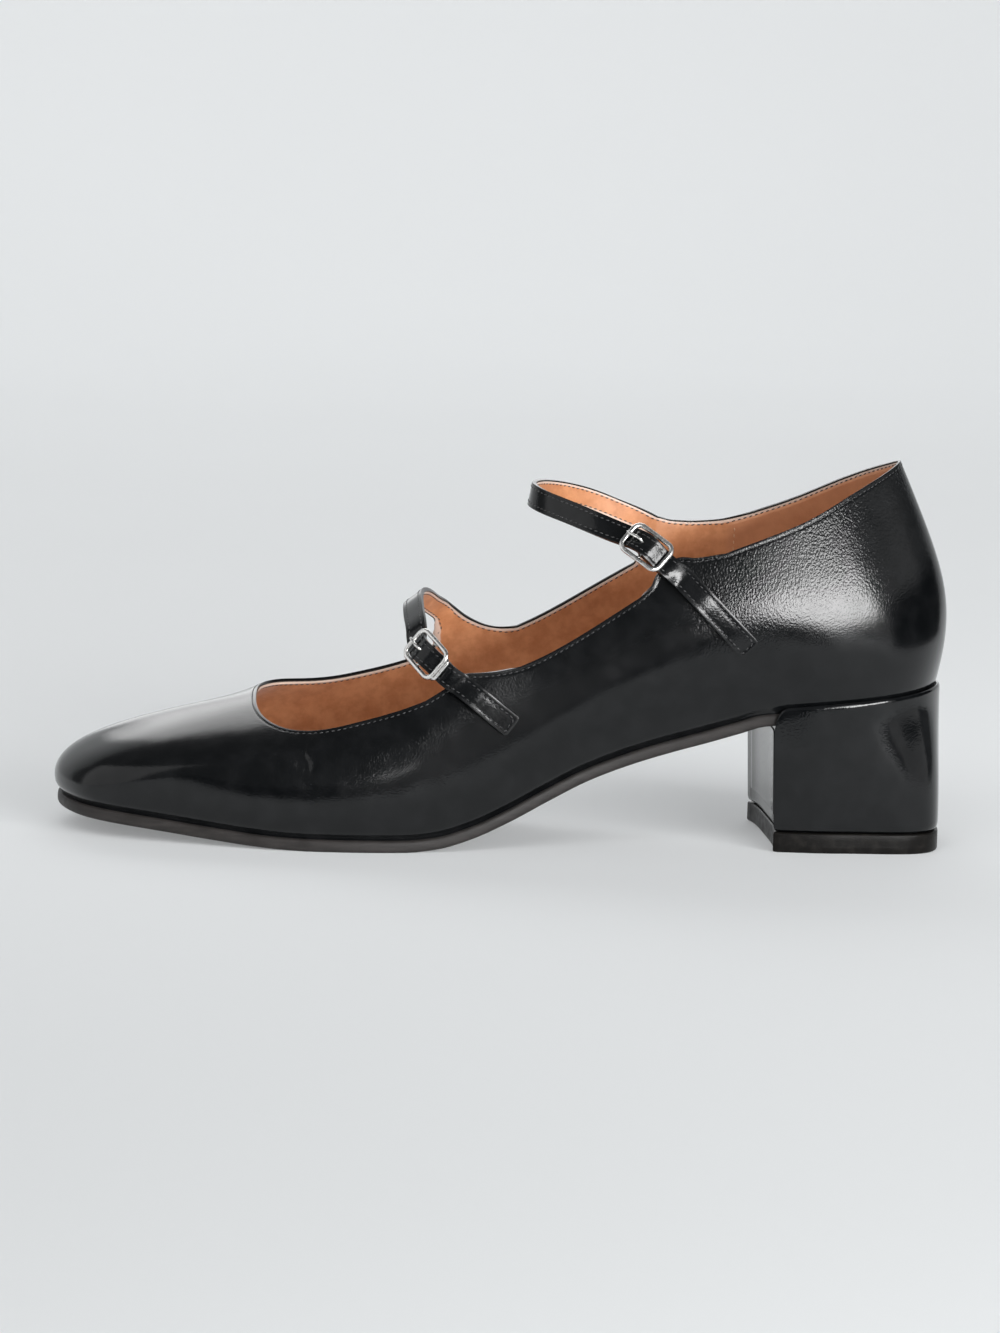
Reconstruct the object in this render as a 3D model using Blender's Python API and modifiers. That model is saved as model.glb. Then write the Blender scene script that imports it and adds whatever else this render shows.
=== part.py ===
"""Left-foot pump with two buckled instep straps and a covered block heel.

The toe points to -X and the heel to +X. The lateral (outer) side faces -Y, the medial
side +Y, and up is +Z. The sole's ball and the heel tip stand on z = 0. Constants and
tables are in millimetres, and MM turns them into metres.

Stations number the places round the foot: 0 is the toe, -18 to -1 run up the lateral
side from the back seam to the toe, and 1 to 18 run down the medial side to the back seam.
"""

import math

import bpy
import numpy as np
from mathutils import Matrix, Vector
from mathutils.bvhtree import BVHTree

MM = 0.001
GAP = 0.3
SMOOTH_ANGLE = math.radians(40)
SEARCH_STEPS = 40
NUDGE = 0.02

# Sole and insole board
SOLE_THICKNESS = 3.4
SOLE_WELT = 0.8
SOLE_EDGE_ROUND = 0.6
SEAT_START = 73.5
SEAT_SLOPE = 0.1
SEAT_INSET = 0.4
SEAT_BLEND = (58.0, 74.0)
BOARD_THICKNESS = 2.4
BOARD_INSET = 2.7
PLATE_RUNGS = 64

# Heel and its tip
HEEL_FRONT_LATERAL = 75.6
HEEL_FRONT_MEDIAL = 73.6
HEEL_FRONT_LEAN = 0.9
HEEL_LEAN_RUN = 15.0
HEEL_CORNER_START = 96.0
HEEL_CORNER_REACH = (28.9, 27.2)
HEEL_BASE_POWER = 4.6
HEEL_MIDDLE_POWER = 3.3
HEEL_TAPER = 0.955
HEEL_STATION_STEP = 0.5
HEEL_CORNER_STEPS = (0.0, 0.05, 0.12, 0.22)
CUP_CLEARANCE = 1.05
CUP_WALL = 0.95
CUP_DEPTH = 5.5
CUP_FRONT = 4.0
CUP_ROUND = 0.5
BREAST_HOLLOW = 1.4
BREAST_POINTS = 7
LIFT_HEIGHT = 5.7
LIFT_EDGE_ROUND = 0.5

# Upper: its wall, the last station, the stretch along the arch that takes closer
# stations, and the fractions of a column's length that its rows stand at
WALL = 1.9
BACK_STATION = 18
ARCH_STATIONS = (7.5, 14.0)
STATION_STEP = 0.25
ROW_FRACTIONS = (0.0, 0.06, 0.15, 0.26, 0.39, 0.53, 0.68, 0.83, 0.94, 1.0)
COLUMN_SAMPLES = 41
STAND_SAMPLES = 5
FOOT_X = 0
TOP_X = 4

# Straps and chapes
STRAP_WIDTH = 6.4
STRAP_THICKNESS = 1.4
STRAP_STEPS = 72
TAIL_ROWS = 7
CHAPE_WIDTH = 5.6
CHAPE_THICKNESS = 0.8
CHAPE_STEPS = 16
CHAPE_ROWS = 6
CHAPE_KNOTS = 5
CHAPE_FADE = (1.05, 1.5)
CHAPE_GAP = 0.4
WALL_GAP = 0.55
WIRE_GAP = 0.45
ROOT_GAP = {"front": 1.8, "rear": 1.4}
ROOT_END = {"front": slice(3, 5), "rear": slice(2, 4)}
OUTSIDE = 80.0
SLOPE_REACH = 1.5

# Buckles
BUCKLE_LENGTH = 14.0
BUCKLE_WIDTH = 10.5
BUCKLE_CORNER = 2.0
BUCKLE_WIRE = 1.4
CORNER_FACETS = 4
BAR_DROP = 0.6
BAR_RADIUS = 0.5
PIN_RADIUS = 0.4
HOLE_RADIUS = 1.0
HOLE_DEPTH = 8.0
HOLE_PLACE = -1.8
HOLE_FACETS = 12
WIRE_FACETS = 2

# Underside of the sole along the foot: x, z
SOLE_BOTTOM = (
    (-125.0, 6.4),
    (-113.0, 5.4),
    (-102.0, 4.3),
    (-91.0, 3.1),
    (-80.0, 1.9),
    (-69.0, 0.8),
    (-60.0, 0.2),
    (-52.0, 0.0),
    (-27.0, 0.0),
    (-18.0, 0.8),
    (-8.5, 3.4),
    (1.5, 7.7),
    (13.0, 13.7),
    (24.0, 19.2),
    (36.0, 23.8),
    (47.0, 27.3),
    (57.0, 30.2),
    (66.0, 33.0),
    (SEAT_START, 35.3),
)

# Upper, one row a station from the lateral side of the back seam round the toe:
# featherline x y, lean and rise of the wall above it, topline x y z, and the pull that
# the wall's surface leaves the topline with, x y z
UPPER_TABLE = (
    (-18, 122.9, 0.0, 6.7, 26.0, 111.3, 0.0, 108.2, 14.4, 0.0, -32.0),
    (-17, 120.9, -8.8, 6.5, 25.0, 109.0, -5.8, 106.9, 13.5, -3.5, -31.0),
    (-16, 115.4, -17.6, 6.0, 22.5, 102.5, -13.2, 103.6, 10.0, -6.5, -29.0),
    (-15, 105.0, -24.2, 5.5, 20.0, 93.5, -20.2, 99.0, 5.0, -8.0, -27.5),
    (-14, 89.0, -26.2, 5.5, 18.0, 82.0, -25.4, 92.8, 2.0, -7.0, -26.0),
    (-13, 69.0, -24.6, 6.5, 17.0, 66.0, -27.6, 86.3, 1.0, -6.5, -24.0),
    (-12, 48.0, -24.0, 6.5, 15.0, 47.0, -28.0, 77.6, 1.0, -6.5, -22.0),
    (-11, 26.0, -25.8, 5.5, 13.0, 26.0, -28.9, 64.0, 1.0, -6.0, -18.0),
    (-10, 4.0, -30.5, 4.0, 12.0, 7.0, -30.8, 53.0, 0.0, -5.0, -16.0),
    (-9, -18.0, -35.6, 3.5, 12.0, -10.5, -32.6, 46.6, -1.0, -5.0, -15.0),
    (-8, -38.0, -38.2, 3.5, 11.0, -26.0, -33.0, 40.2, -2.0, -6.5, -13.0),
    (-7, -58.0, -37.2, 4.0, 11.0, -38.5, -32.2, 36.0, -3.0, -8.5, -11.0),
    (-6, -77.0, -33.6, 4.5, 12.0, -49.0, -30.0, 33.0, -4.0, -10.5, -9.0),
    (-5, -93.0, -29.6, 5.0, 14.0, -57.5, -27.2, 32.1, -6.0, -12.0, -8.0),
    (-4, -105.0, -26.6, 6.0, 15.0, -63.0, -23.2, 32.9, -11.0, -13.0, -7.5),
    (-3, -113.6, -22.2, 7.0, 15.5, -66.5, -17.6, 34.4, -18.0, -12.0, -7.0),
    (-2, -118.8, -15.6, 8.0, 16.0, -68.2, -11.0, 36.1, -23.0, -9.0, -6.0),
    (-1, -122.1, -7.0, 9.6, 15.6, -68.6, -4.4, 37.4, -26.0, -4.0, -5.4),
    (0, -123.2, 2.0, 10.4, 16.3, -68.5, 2.4, 38.2, -28.0, 0.0, -5.8),
    (1, -122.2, 11.0, 9.8, 16.0, -68.1, 9.2, 38.6, -26.0, 4.0, -9.0),
    (2, -119.3, 19.0, 8.4, 15.5, -67.0, 15.4, 38.8, -22.0, 7.0, -11.5),
    (3, -114.0, 25.2, 7.0, 15.5, -64.6, 20.8, 38.8, -17.0, 9.5, -11.5),
    (4, -105.4, 29.5, 6.0, 15.5, -60.8, 25.0, 38.7, -11.0, 11.0, -10.2),
    (5, -93.0, 32.4, 5.0, 15.0, -54.5, 28.2, 38.5, -6.5, 10.5, -10.5),
    (6, -77.0, 35.0, 4.5, 15.0, -46.5, 30.3, 39.0, -4.0, 10.0, -11.0),
    (7, -60.0, 36.6, 4.0, 14.0, -37.5, 31.3, 40.8, -3.0, 8.5, -13.0),
    (8, -42.0, 35.6, 3.5, 14.0, -26.0, 31.6, 44.0, -2.0, 7.0, -15.0),
    (9, -22.0, 30.4, 4.0, 14.0, -11.0, 31.0, 49.3, -1.0, 6.0, -17.0),
    (10, 0.0, 24.2, 6.0, 14.0, 6.0, 29.8, 55.0, 0.0, 6.0, -18.0),
    (11, 22.0, 20.8, 8.0, 16.0, 24.5, 28.6, 65.4, 1.0, 6.0, -20.0),
    (12, 44.0, 20.9, 8.5, 17.0, 43.0, 28.0, 76.4, 1.0, 6.0, -22.0),
    (13, 66.0, 23.0, 7.0, 18.0, 63.5, 27.6, 86.4, 1.0, 6.0, -24.0),
    (14, 88.0, 25.6, 5.5, 18.0, 81.5, 25.8, 93.2, 2.0, 6.5, -26.0),
    (15, 104.6, 24.0, 5.5, 20.0, 93.5, 21.2, 99.0, 5.0, 8.0, -27.5),
    (16, 115.3, 17.4, 6.0, 22.5, 102.7, 14.2, 103.8, 10.0, 6.5, -29.0),
    (17, 120.9, 8.7, 6.5, 25.0, 109.2, 6.2, 107.0, 13.5, 3.5, -31.0),
)

# Leather that stands above the even topline: x of the even topline, then how far the
# edge stands from it, x y z. ROOT_END picks the two corners where a root's strap goes on.
FRONT_ROOT = (
    (-26.0, 0.0, 0.0, 0.0),
    (-21.0, 0.3, -0.1, 0.6),
    (-17.3, 0.9, -0.8, 3.2),
    (-15.8, -2.4, -6.2, 9.4),
    (-11.0, -2.3, -6.0, 12.3),
    (-7.6, -1.1, -3.4, 7.6),
    (-3.0, -0.4, -0.9, 3.6),
    (1.0, 0.0, -0.2, 1.5),
    (6.0, 0.0, 0.0, 0.0),
)
REAR_ROOT = (
    (39.0, 0.0, 0.0, 0.0),
    (42.3, 0.5, 0.0, 2.0),
    (43.6, -0.4, -0.2, 5.6),
    (45.2, 0.5, -0.7, 10.2),
    (51.0, -1.0, -0.6, 6.3),
    (58.5, -0.5, -0.3, 2.7),
    (66.0, 0.0, 0.0, 0.5),
    (72.0, 0.0, 0.0, 0.0),
)
FRONT_TAB = (
    (-22.0, 0.0, 0.0, 0.0),
    (-16.5, 0.0, 0.4, 1.2),
    (-12.0, 0.0, 0.5, 3.2),
    (-7.0, 0.0, 0.3, 2.0),
    (-2.0, 0.0, 0.0, 0.8),
    (4.0, 0.0, 0.0, 0.0),
)
REAR_TAB = (
    (36.5, 0.0, 0.0, 0.0),
    (40.0, 0.0, 0.0, 1.0),
    (42.0, -0.4, 0.4, 3.4),
    (46.0, 0.0, 1.0, 4.9),
    (52.5, 0.0, 0.4, 2.0),
    (60.0, 0.0, 0.0, 0.0),
)

# Free run of each strap from its medial root to its buckle: centre x y z, and the
# direction across it from its front edge to its rear edge, x y z
FRONT_ARC = (
    (-18.8, 19.0, 61.9, 0.78, 0.04, 0.63),
    (-21.7, 11.0, 64.8, 0.78, 0.02, 0.63),
    (-24.4, 1.5, 66.2, 0.78, 0.0, 0.63),
    (-25.1, -8.0, 65.2, 0.77, -0.03, 0.64),
    (-24.9, -16.0, 63.0, 0.75, -0.06, 0.66),
    (-24.5, -22.3, 60.2, 0.7, -0.1, 0.7),
)
REAR_ARC = (
    (35.0, 25.4, 89.0, 0.0, 0.0, 1.0),
    (26.0, 22.2, 92.6, 0.08, 0.0, 1.0),
    (17.0, 16.2, 95.2, 0.12, 0.0, 0.99),
    (10.0, 7.4, 96.5, 0.16, 0.0, 0.98),
    (7.7, -1.0, 96.4, 0.18, -0.02, 0.98),
    (10.4, -9.2, 95.2, 0.28, 0.0, 0.95),
    (17.0, -17.0, 93.2, 0.42, 0.1, 0.9),
    (24.6, -22.4, 90.6, 0.52, 0.25, 0.82),
)

# Each buckle: centre, direction along the strap towards its tail, and outward face
FRONT_BUCKLE = ((-22.1, -31.0, 54.6), (0.525, -0.68, -0.513), (-0.59, -0.725, 0.356))
REAR_BUCKLE = ((37.9, -29.8, 85.4), (0.783, -0.324, -0.531), (0.0, -0.855, 0.519))

# Each tail on the lateral wall: x z of its start, where its chape ends, and its tip
FRONT_TAIL = ((-12.5, 46.2), (-7.5, 42.4), (2.0, 35.3))
REAR_TAIL = ((48.5, 76.4), (53.5, 71.5), (67.4, 57.7))

COLORS = {
    "black_leather": ((0.018, 0.018, 0.02), 0.28, 0.0),
    "strap_leather": ((0.016, 0.016, 0.018), 0.3, 0.0),
    "tan_lining": ((0.42, 0.19, 0.09), 0.6, 0.0),
    "sole": ((0.03, 0.025, 0.022), 0.55, 0.0),
    "heel_tip": ((0.02, 0.02, 0.02), 0.6, 0.0),
    "buckle_metal": ((0.8, 0.8, 0.82), 0.2, 1.0),
}


# ---------------------------------------------------------------- numbers and curves


def smooth_curve(knots, rows, period=0.0):
    """Return a function for the cubic through the rows, closed on itself if it has a period."""
    knots = np.asarray(knots, float)
    rows = np.asarray(rows, float)
    if period:
        knots = np.append(knots, knots[0] + period)
        rows = np.vstack([rows, rows[:1]])
    count = len(knots)
    step = np.diff(knots)
    rise = np.diff(rows, axis=0) / step[:, None]
    system = np.zeros((count, count))
    right = np.zeros_like(rows)
    for i in range(1, count - 1):
        system[i, i - 1:i + 2] = step[i - 1], 2 * (step[i - 1] + step[i]), step[i]
        right[i] = 6 * (rise[i] - rise[i - 1])
    if period:
        system[0, [0, -1]] = 1, -1
        system[-1, [0, 1, -2, -1]] = 2 * step[0], step[0], step[-1], 2 * step[-1]
        right[-1] = 6 * (rise[0] - rise[-1])
    else:
        system[0, 0] = system[-1, -1] = 1
    bend = np.linalg.solve(system, right)

    def at(t):
        if period:
            t = knots[0] + (t - knots[0]) % period
        i = min(max(int(np.searchsorted(knots, t, side="right")) - 1, 0), count - 2)
        a = (knots[i + 1] - t) / step[i]
        b = (t - knots[i]) / step[i]
        curved = (a**3 - a) * bend[i] + (b**3 - b) * bend[i + 1]
        return a * rows[i] + b * rows[i + 1] + curved * step[i]**2 / 6

    return at


def even_slopes(table, last_slope):
    """Slope at each row of an x, z table that never overshoots between two rows."""
    xs, zs = np.array(table).T
    rise = np.diff(zs) / np.diff(xs)
    slopes = [rise[0]]
    for before, after in zip(rise[:-1], rise[1:]):
        slopes.append(0.0 if before * after <= 0 else 2 / (1 / before + 1 / after))
    return slopes + [last_slope]


SOLE_SLOPES = even_slopes(SOLE_BOTTOM, SEAT_SLOPE)


def sole_bottom(x):
    """Height of the sole's underside, flat at the ball and straight under the heel seat."""
    last_x, last_z = SOLE_BOTTOM[-1]
    if x >= last_x:
        return last_z + SEAT_SLOPE * (x - last_x)
    i = max(k for k in range(len(SOLE_BOTTOM) - 1) if k == 0 or SOLE_BOTTOM[k][0] <= x)
    (x0, z0), (x1, z1) = SOLE_BOTTOM[i:i + 2]
    run = x1 - x0
    t = (x - x0) / run
    start = z0 * (1 + 2 * t) * (1 - t)**2 + SOLE_SLOPES[i] * run * t * (1 - t)**2
    end = z1 * t * t * (3 - 2 * t) + SOLE_SLOPES[i + 1] * run * t * t * (t - 1)
    return start + end


def sole_top(x):
    """Height of the sole's upper face, its thickness measured square to the slope."""
    slope = (sole_bottom(x + NUDGE) - sole_bottom(x - NUDGE)) / (2 * NUDGE)
    return sole_bottom(x) + SOLE_THICKNESS * math.hypot(1.0, slope)


def unit(vector):
    """Vector scaled to length 1."""
    return np.asarray(vector) / np.linalg.norm(vector)


def ease(value, start, end):
    """Smooth step from 0 at start to 1 at end."""
    t = min(max((value - start) / (end - start), 0.0), 1.0)
    return t * t * (3 - 2 * t)


# ---------------------------------------------------------------- shape of the upper

UPPER = smooth_curve([row[0] for row in UPPER_TABLE], [row[1:] for row in UPPER_TABLE],
                     period=2 * BACK_STATION)


def foot_outline(station, offset=0.0):
    """Featherline point in plan, moved outwards by an offset."""
    here = UPPER(station)[:2]
    ahead = unit(UPPER(station + NUDGE)[:2] - UPPER(station - NUDGE)[:2])
    return here + offset * np.array([-ahead[1], ahead[0]])


def side_station(x, side, column):
    """Station on one side (-1 lateral, 1 medial) where a column of UPPER reaches this x."""
    low, high = 1.0, BACK_STATION - HEEL_STATION_STEP
    for _ in range(SEARCH_STEPS):
        middle = (low + high) / 2
        if UPPER(side * middle)[column] < x:
            low = middle
        else:
            high = middle
    return side * low


def stand_curve(table, side):
    """Return the stations of a root or tab and a function for how far its edge stands up."""
    rows = sorted((side_station(row[0], side, TOP_X), *row[1:]) for row in table)
    stations = [row[0] for row in rows]
    stands = np.array([row[1:] for row in rows])

    def at(station):
        return np.array([np.interp(station, stations, stands[:, k]) for k in range(3)])

    return stations, at


STANDS = {
    "front_root": stand_curve(FRONT_ROOT, 1),
    "rear_root": stand_curve(REAR_ROOT, 1),
    "front_tab": stand_curve(FRONT_TAB, -1),
    "rear_tab": stand_curve(REAR_TAB, -1),
}


def topline_stand(station):
    """How far the edge stands above the even topline at a station."""
    for stations, at in STANDS.values():
        if stations[0] < station < stations[-1]:
            return at(station)
    return np.zeros(3)


def upper_column(station, fractions):
    """Points up the outside of the upper at one station, at fractions of its height."""
    row = UPPER(station)
    outward = foot_outline(station, 1.0) - foot_outline(station)
    foot = np.array([*row[:2], sole_top(row[0]) + GAP])
    top = row[4:7]
    low_pull = foot + [outward[0] * row[2], outward[1] * row[2], row[3]]
    high_pull = top + row[7:10]
    t = np.linspace(0, 1, COLUMN_SAMPLES)[:, None]
    wall = (foot * (1 - t)**3 + 3 * low_pull * t * (1 - t)**2
            + 3 * high_pull * t**2 * (1 - t) + top * t**3)
    stand = topline_stand(station)
    height = np.linalg.norm(stand)
    if height > NUDGE:
        lead = unit(top - high_pull) * height / 2
        t = np.linspace(0, 1, STAND_SAMPLES)[1:, None]
        wall = np.vstack([wall, top + 2 * t * (1 - t) * lead + t**2 * stand])
    reach = np.concatenate([[0], np.cumsum(np.linalg.norm(np.diff(wall, axis=0), axis=1))])
    wanted = np.array(fractions) * reach[-1]
    return np.stack([np.interp(wanted, reach, wall[:, k]) for k in range(3)], axis=1)


def stations_round(extra):
    """Stations all round the foot, closer along the arch, with the extra ones among them."""
    even = [s for s in np.arange(-BACK_STATION, BACK_STATION, STATION_STEP)
            if ARCH_STATIONS[0] <= abs(s) <= ARCH_STATIONS[1] or s % (2 * STATION_STEP) == 0]
    clear = [s for s in even if min(abs(s - e) for e in extra) > STATION_STEP / 2]
    return sorted(clear + list(extra))


# ---------------------------------------------------------------- Blender objects


def make_material(name):
    """Principled material from COLORS."""
    color, roughness, metallic = COLORS[name]
    material = bpy.data.materials.new(name)
    material.use_nodes = True
    shader = material.node_tree.nodes["Principled BSDF"]
    shader.inputs["Base Color"].default_value = (*color, 1.0)
    shader.inputs["Roughness"].default_value = roughness
    shader.inputs["Metallic"].default_value = metallic
    material.diffuse_color = (*color, 1.0)
    return material


def add_object(name, data, material, collection):
    """Link data as a named object of its own, with a material of its own."""
    body = bpy.data.objects.new(name, data)
    collection.objects.link(body)
    own = make_material(material)
    own.name = name + "_" + material
    data.materials.append(own)
    return body


def mesh_from(name, points, faces):
    """Mesh from millimetre points and faces, shaded smooth but for its sharp edges."""
    mesh = bpy.data.meshes.new(name)
    mesh.from_pydata([Vector(p) * MM for p in points], [], faces)
    mesh.update()
    mesh.shade_smooth()
    mesh.set_sharp_from_angle(angle=SMOOTH_ANGLE)
    return mesh


def ring_walls(ring_count, size):
    """Faces between each ring of points and the next, rings running anticlockwise upwards."""
    faces = []
    for ring in range(ring_count - 1):
        for i in range(size):
            j = (i + 1) % size
            low, high = ring * size, (ring + 1) * size
            faces.append((low + i, low + j, high + j, high + i))
    return faces


def solidify(body, thickness, offset):
    """Give an open surface a wall."""
    wall = body.modifiers.new("wall", "SOLIDIFY")
    wall.thickness = thickness * MM
    wall.offset = offset
    wall.use_rim = True
    wall.use_quality_normals = True


def build_upper(collection):
    """Black leather upper: one hollow wall, open at the throat, the collar and underneath."""
    stations = stations_round([s for corners, _ in STANDS.values() for s in corners])
    columns = [upper_column(s, ROW_FRACTIONS) for s in stations]
    rows = len(ROW_FRACTIONS)
    points = [p for column in columns for p in column]
    faces = []
    for i in range(len(columns)):
        here, beyond = i * rows, (i + 1) % len(columns) * rows
        for j in range(rows - 1):
            faces.append((here + j, here + j + 1, beyond + j + 1, beyond + j))
    upper = add_object("upper", mesh_from("upper", points, faces), "black_leather", collection)
    solidify(upper, WALL, -1.0)
    return BVHTree.FromPolygons([Vector(p) for p in points], faces)


def plate(name, material, rings, collection):
    """Closed plate from rings of points; each cap is a ladder of rungs across the foot."""
    size = len(rings[0])
    half = size // 2
    faces = ring_walls(len(rings), size)
    for ring, flip in ((0, True), (len(rings) - 1, False)):
        start = ring * size
        for i in range(half):
            rung = [start + i, start + i + 1, start + (size - i - 1), start + (size - i) % size]
            corners = sorted(set(rung), key=rung.index)
            faces.append(tuple(reversed(corners)) if flip else tuple(corners))
    points = [p for ring in rings for p in ring]
    return add_object(name, mesh_from(name, points, faces), material, collection)


def sole_offset(x):
    """How far the sole stands outside the featherline, drawn in under the heel's cup."""
    return SOLE_WELT + (SEAT_INSET - SOLE_WELT) * ease(x, *SEAT_BLEND)


def side_point(x, side, offset_at, height_at):
    """Point of an offset outline where it crosses one x on one side (-1 lateral, 1 medial)."""
    low, high = 0.0, float(BACK_STATION)
    for _ in range(SEARCH_STEPS):
        middle = (low + high) / 2
        if foot_outline(side * middle, offset_at(x))[0] < x:
            low = middle
        else:
            high = middle
    return (*foot_outline(side * low, offset_at(x)), height_at(x))


def plate_ring(rungs, offset_at, height_at):
    """Ring of points round the foot, anticlockwise seen from above, on rungs square to X."""
    def end_point(station):
        edge = foot_outline(station, offset_at(UPPER(station)[FOOT_X]))
        return (*edge, height_at(edge[0]))

    medial = [side_point(x, 1, offset_at, height_at) for x in rungs]
    lateral = [side_point(x, -1, offset_at, height_at) for x in reversed(rungs)]
    return [end_point(BACK_STATION), *medial, end_point(0), *lateral]


def plate_rungs(inset):
    """Places along X of a plate's rungs, closer towards its blunt ends."""
    toe, back = UPPER(0)[FOOT_X], UPPER(BACK_STATION)[FOOT_X]
    turns = np.linspace(0, math.pi, PLATE_RUNGS + 1)
    rungs = (toe + back) / 2 + (back - toe) / 2 * np.cos(turns)
    return [x for x in rungs if toe + inset < x < back - inset]


def build_sole(collection):
    """Thin leather outsole from the toe to the back of the heel seat."""
    def inner(x):
        return sole_offset(x) - SOLE_EDGE_ROUND

    rungs = plate_rungs(SOLE_EDGE_ROUND)
    rings = [
        plate_ring(rungs, inner, sole_bottom),
        plate_ring(rungs, sole_offset, lambda x: sole_bottom(x) + SOLE_EDGE_ROUND),
        plate_ring(rungs, sole_offset, lambda x: sole_top(x) - SOLE_EDGE_ROUND),
        plate_ring(rungs, inner, sole_top),
    ]
    plate("outsole", "sole", rings, collection)


def build_insole(collection):
    """Insole board on the sole, inside the upper's wall."""
    def inner(_x):
        return -BOARD_INSET

    rungs = plate_rungs(BOARD_INSET + SOLE_EDGE_ROUND)
    rings = [
        plate_ring(rungs, inner, lambda x: sole_top(x) + GAP),
        plate_ring(rungs, inner, lambda x: sole_top(x) + GAP + BOARD_THICKNESS),
    ]
    plate("insole", "tan_lining", rings, collection)


def heel_stations():
    """Stations round the heel from its lateral front corner by the back to its medial one."""
    lateral = abs(side_station(HEEL_FRONT_LATERAL, -1, FOOT_X))
    medial = side_station(HEEL_FRONT_MEDIAL, 1, FOOT_X)
    first = max(lateral, medial) + HEEL_CORNER_STEPS[-1]
    first_even = math.ceil(first / HEEL_STATION_STEP) * HEEL_STATION_STEP
    sides = list(np.arange(first_even, BACK_STATION, HEEL_STATION_STEP))
    lateral_side = [-(lateral + step) for step in HEEL_CORNER_STEPS] + [-s for s in sides]
    medial_side = sides[::-1] + [medial + step for step in HEEL_CORNER_STEPS[::-1]]
    return [*lateral_side, BACK_STATION, *medial_side]


def squared(x, y, power):
    """Point of the heel's plan with its back corners filled out.

    A half circle at the back becomes a superellipse of that power, and a power of 2
    leaves it as it is.
    """
    run = max(x - HEEL_CORNER_START, 0.0) / HEEL_CORNER_REACH[0]
    side = abs(y) / HEEL_CORNER_REACH[1]
    if run == 0.0:
        return x, y
    growth = math.hypot(run, side) / (run**power + side**power)**(1 / power)
    return HEEL_CORNER_START + (x - HEEL_CORNER_START) * growth, y * growth


def heel_ring(offset, breast_inset, taper, lean, height_at, power=2.0):
    """Ring round the heel, anticlockwise seen from above, with a hollow front face.

    The height is a function of x and of how far the point lies behind the heel's front,
    and the power says how square its back corners are.
    """
    side = []
    for station in heel_stations():
        x, y = foot_outline(station, offset)
        behind = UPPER(station)[FOOT_X] - (HEEL_FRONT_LATERAL if y < 0 else HEEL_FRONT_MEDIAL)
        height = height_at(x, behind)
        plan_x, plan_y = squared(x, y * taper, power)
        side.append((plan_x + lean * (1 - ease(behind, 0.0, HEEL_LEAN_RUN)), plan_y, height))
    start, end = np.array(side[-1][:2]), np.array(side[0][:2])
    front = []
    for t in np.linspace(0, 1, BREAST_POINTS + 2)[1:-1]:
        x, y = start + (end - start) * t
        x += BREAST_HOLLOW * (1 - (2 * t - 1)**4) + breast_inset
        front.append((x, y, height_at(x, 0.0)))
    return side + front


def cup_floor(x):
    """Height of the heel's seat under the sole."""
    return sole_bottom(x) - GAP


def cup_rim(x, behind):
    """Height of the heel's upper edge: a cup round the seat, rounded down to the breast."""
    fade = 1 - min(behind / CUP_FRONT, 1.0)
    return cup_floor(x) + CUP_DEPTH * math.sqrt(max(1 - fade * fade, 0.0))


def closed_stack(name, material, rings, collection):
    """Closed body from a stack of rings with flat caps."""
    size = len(rings[0])
    faces = ring_walls(len(rings), size)
    faces.append(tuple(reversed(range(size))))
    faces.append(tuple(range((len(rings) - 1) * size, len(rings) * size)))
    points = [p for ring in rings for p in ring]
    return add_object(name, mesh_from(name, points, faces), material, collection)


def build_heel(collection):
    """Leather-covered block with a cup for the seat, and the tip under it."""
    inner = CUP_CLEARANCE
    outer = CUP_CLEARANCE + CUP_WALL
    lean = HEEL_FRONT_LEAN
    low = LIFT_HEIGHT + GAP

    def middle(x, behind):
        return (low + cup_rim(x, behind) - CUP_ROUND) / 2

    rings = [
        heel_ring(outer, 0.0, HEEL_TAPER, lean, lambda x, behind: low, HEEL_BASE_POWER),
        heel_ring(outer, 0.0, (HEEL_TAPER + 1) / 2, lean / 2, middle, HEEL_MIDDLE_POWER),
        heel_ring(outer, 0.0, 1.0, 0.0, lambda x, behind: cup_rim(x, behind) - CUP_ROUND),
        heel_ring(outer - CUP_ROUND / 2, CUP_ROUND / 2, 1.0, 0.0, cup_rim),
        heel_ring(inner, CUP_ROUND, 1.0, 0.0, cup_rim),
        heel_ring(inner - CUP_ROUND / 2, 2 * CUP_ROUND, 1.0, 0.0, lambda x, behind: cup_floor(x)),
    ]
    closed_stack("heel_block", "black_leather", rings, collection)
    rounding = LIFT_EDGE_ROUND
    tip_rings = [
        heel_ring(outer - rounding, rounding, HEEL_TAPER, lean, lambda x, behind: 0.0,
                  HEEL_BASE_POWER),
        heel_ring(outer, 0.0, HEEL_TAPER, lean, lambda x, behind: rounding, HEEL_BASE_POWER),
        heel_ring(outer, 0.0, HEEL_TAPER, lean, lambda x, behind: LIFT_HEIGHT,
                  HEEL_BASE_POWER),
    ]
    closed_stack("heel_tip", "heel_tip", tip_rings, collection)


def lateral_wall(surface, x, z):
    """Point on the outside of the lateral wall at x z, and the wall's outward direction."""
    def depth(px, pz):
        return surface.ray_cast(Vector((px, -OUTSIDE, pz)), Vector((0.0, 1.0, 0.0)))[0].y

    across = (depth(x + SLOPE_REACH, z) - depth(x - SLOPE_REACH, z)) / (2 * SLOPE_REACH)
    up = (depth(x, z + SLOPE_REACH) - depth(x, z - SLOPE_REACH)) / (2 * SLOPE_REACH)
    return np.array([x, depth(x, z), z]), unit([across, -1.0, up])


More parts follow.
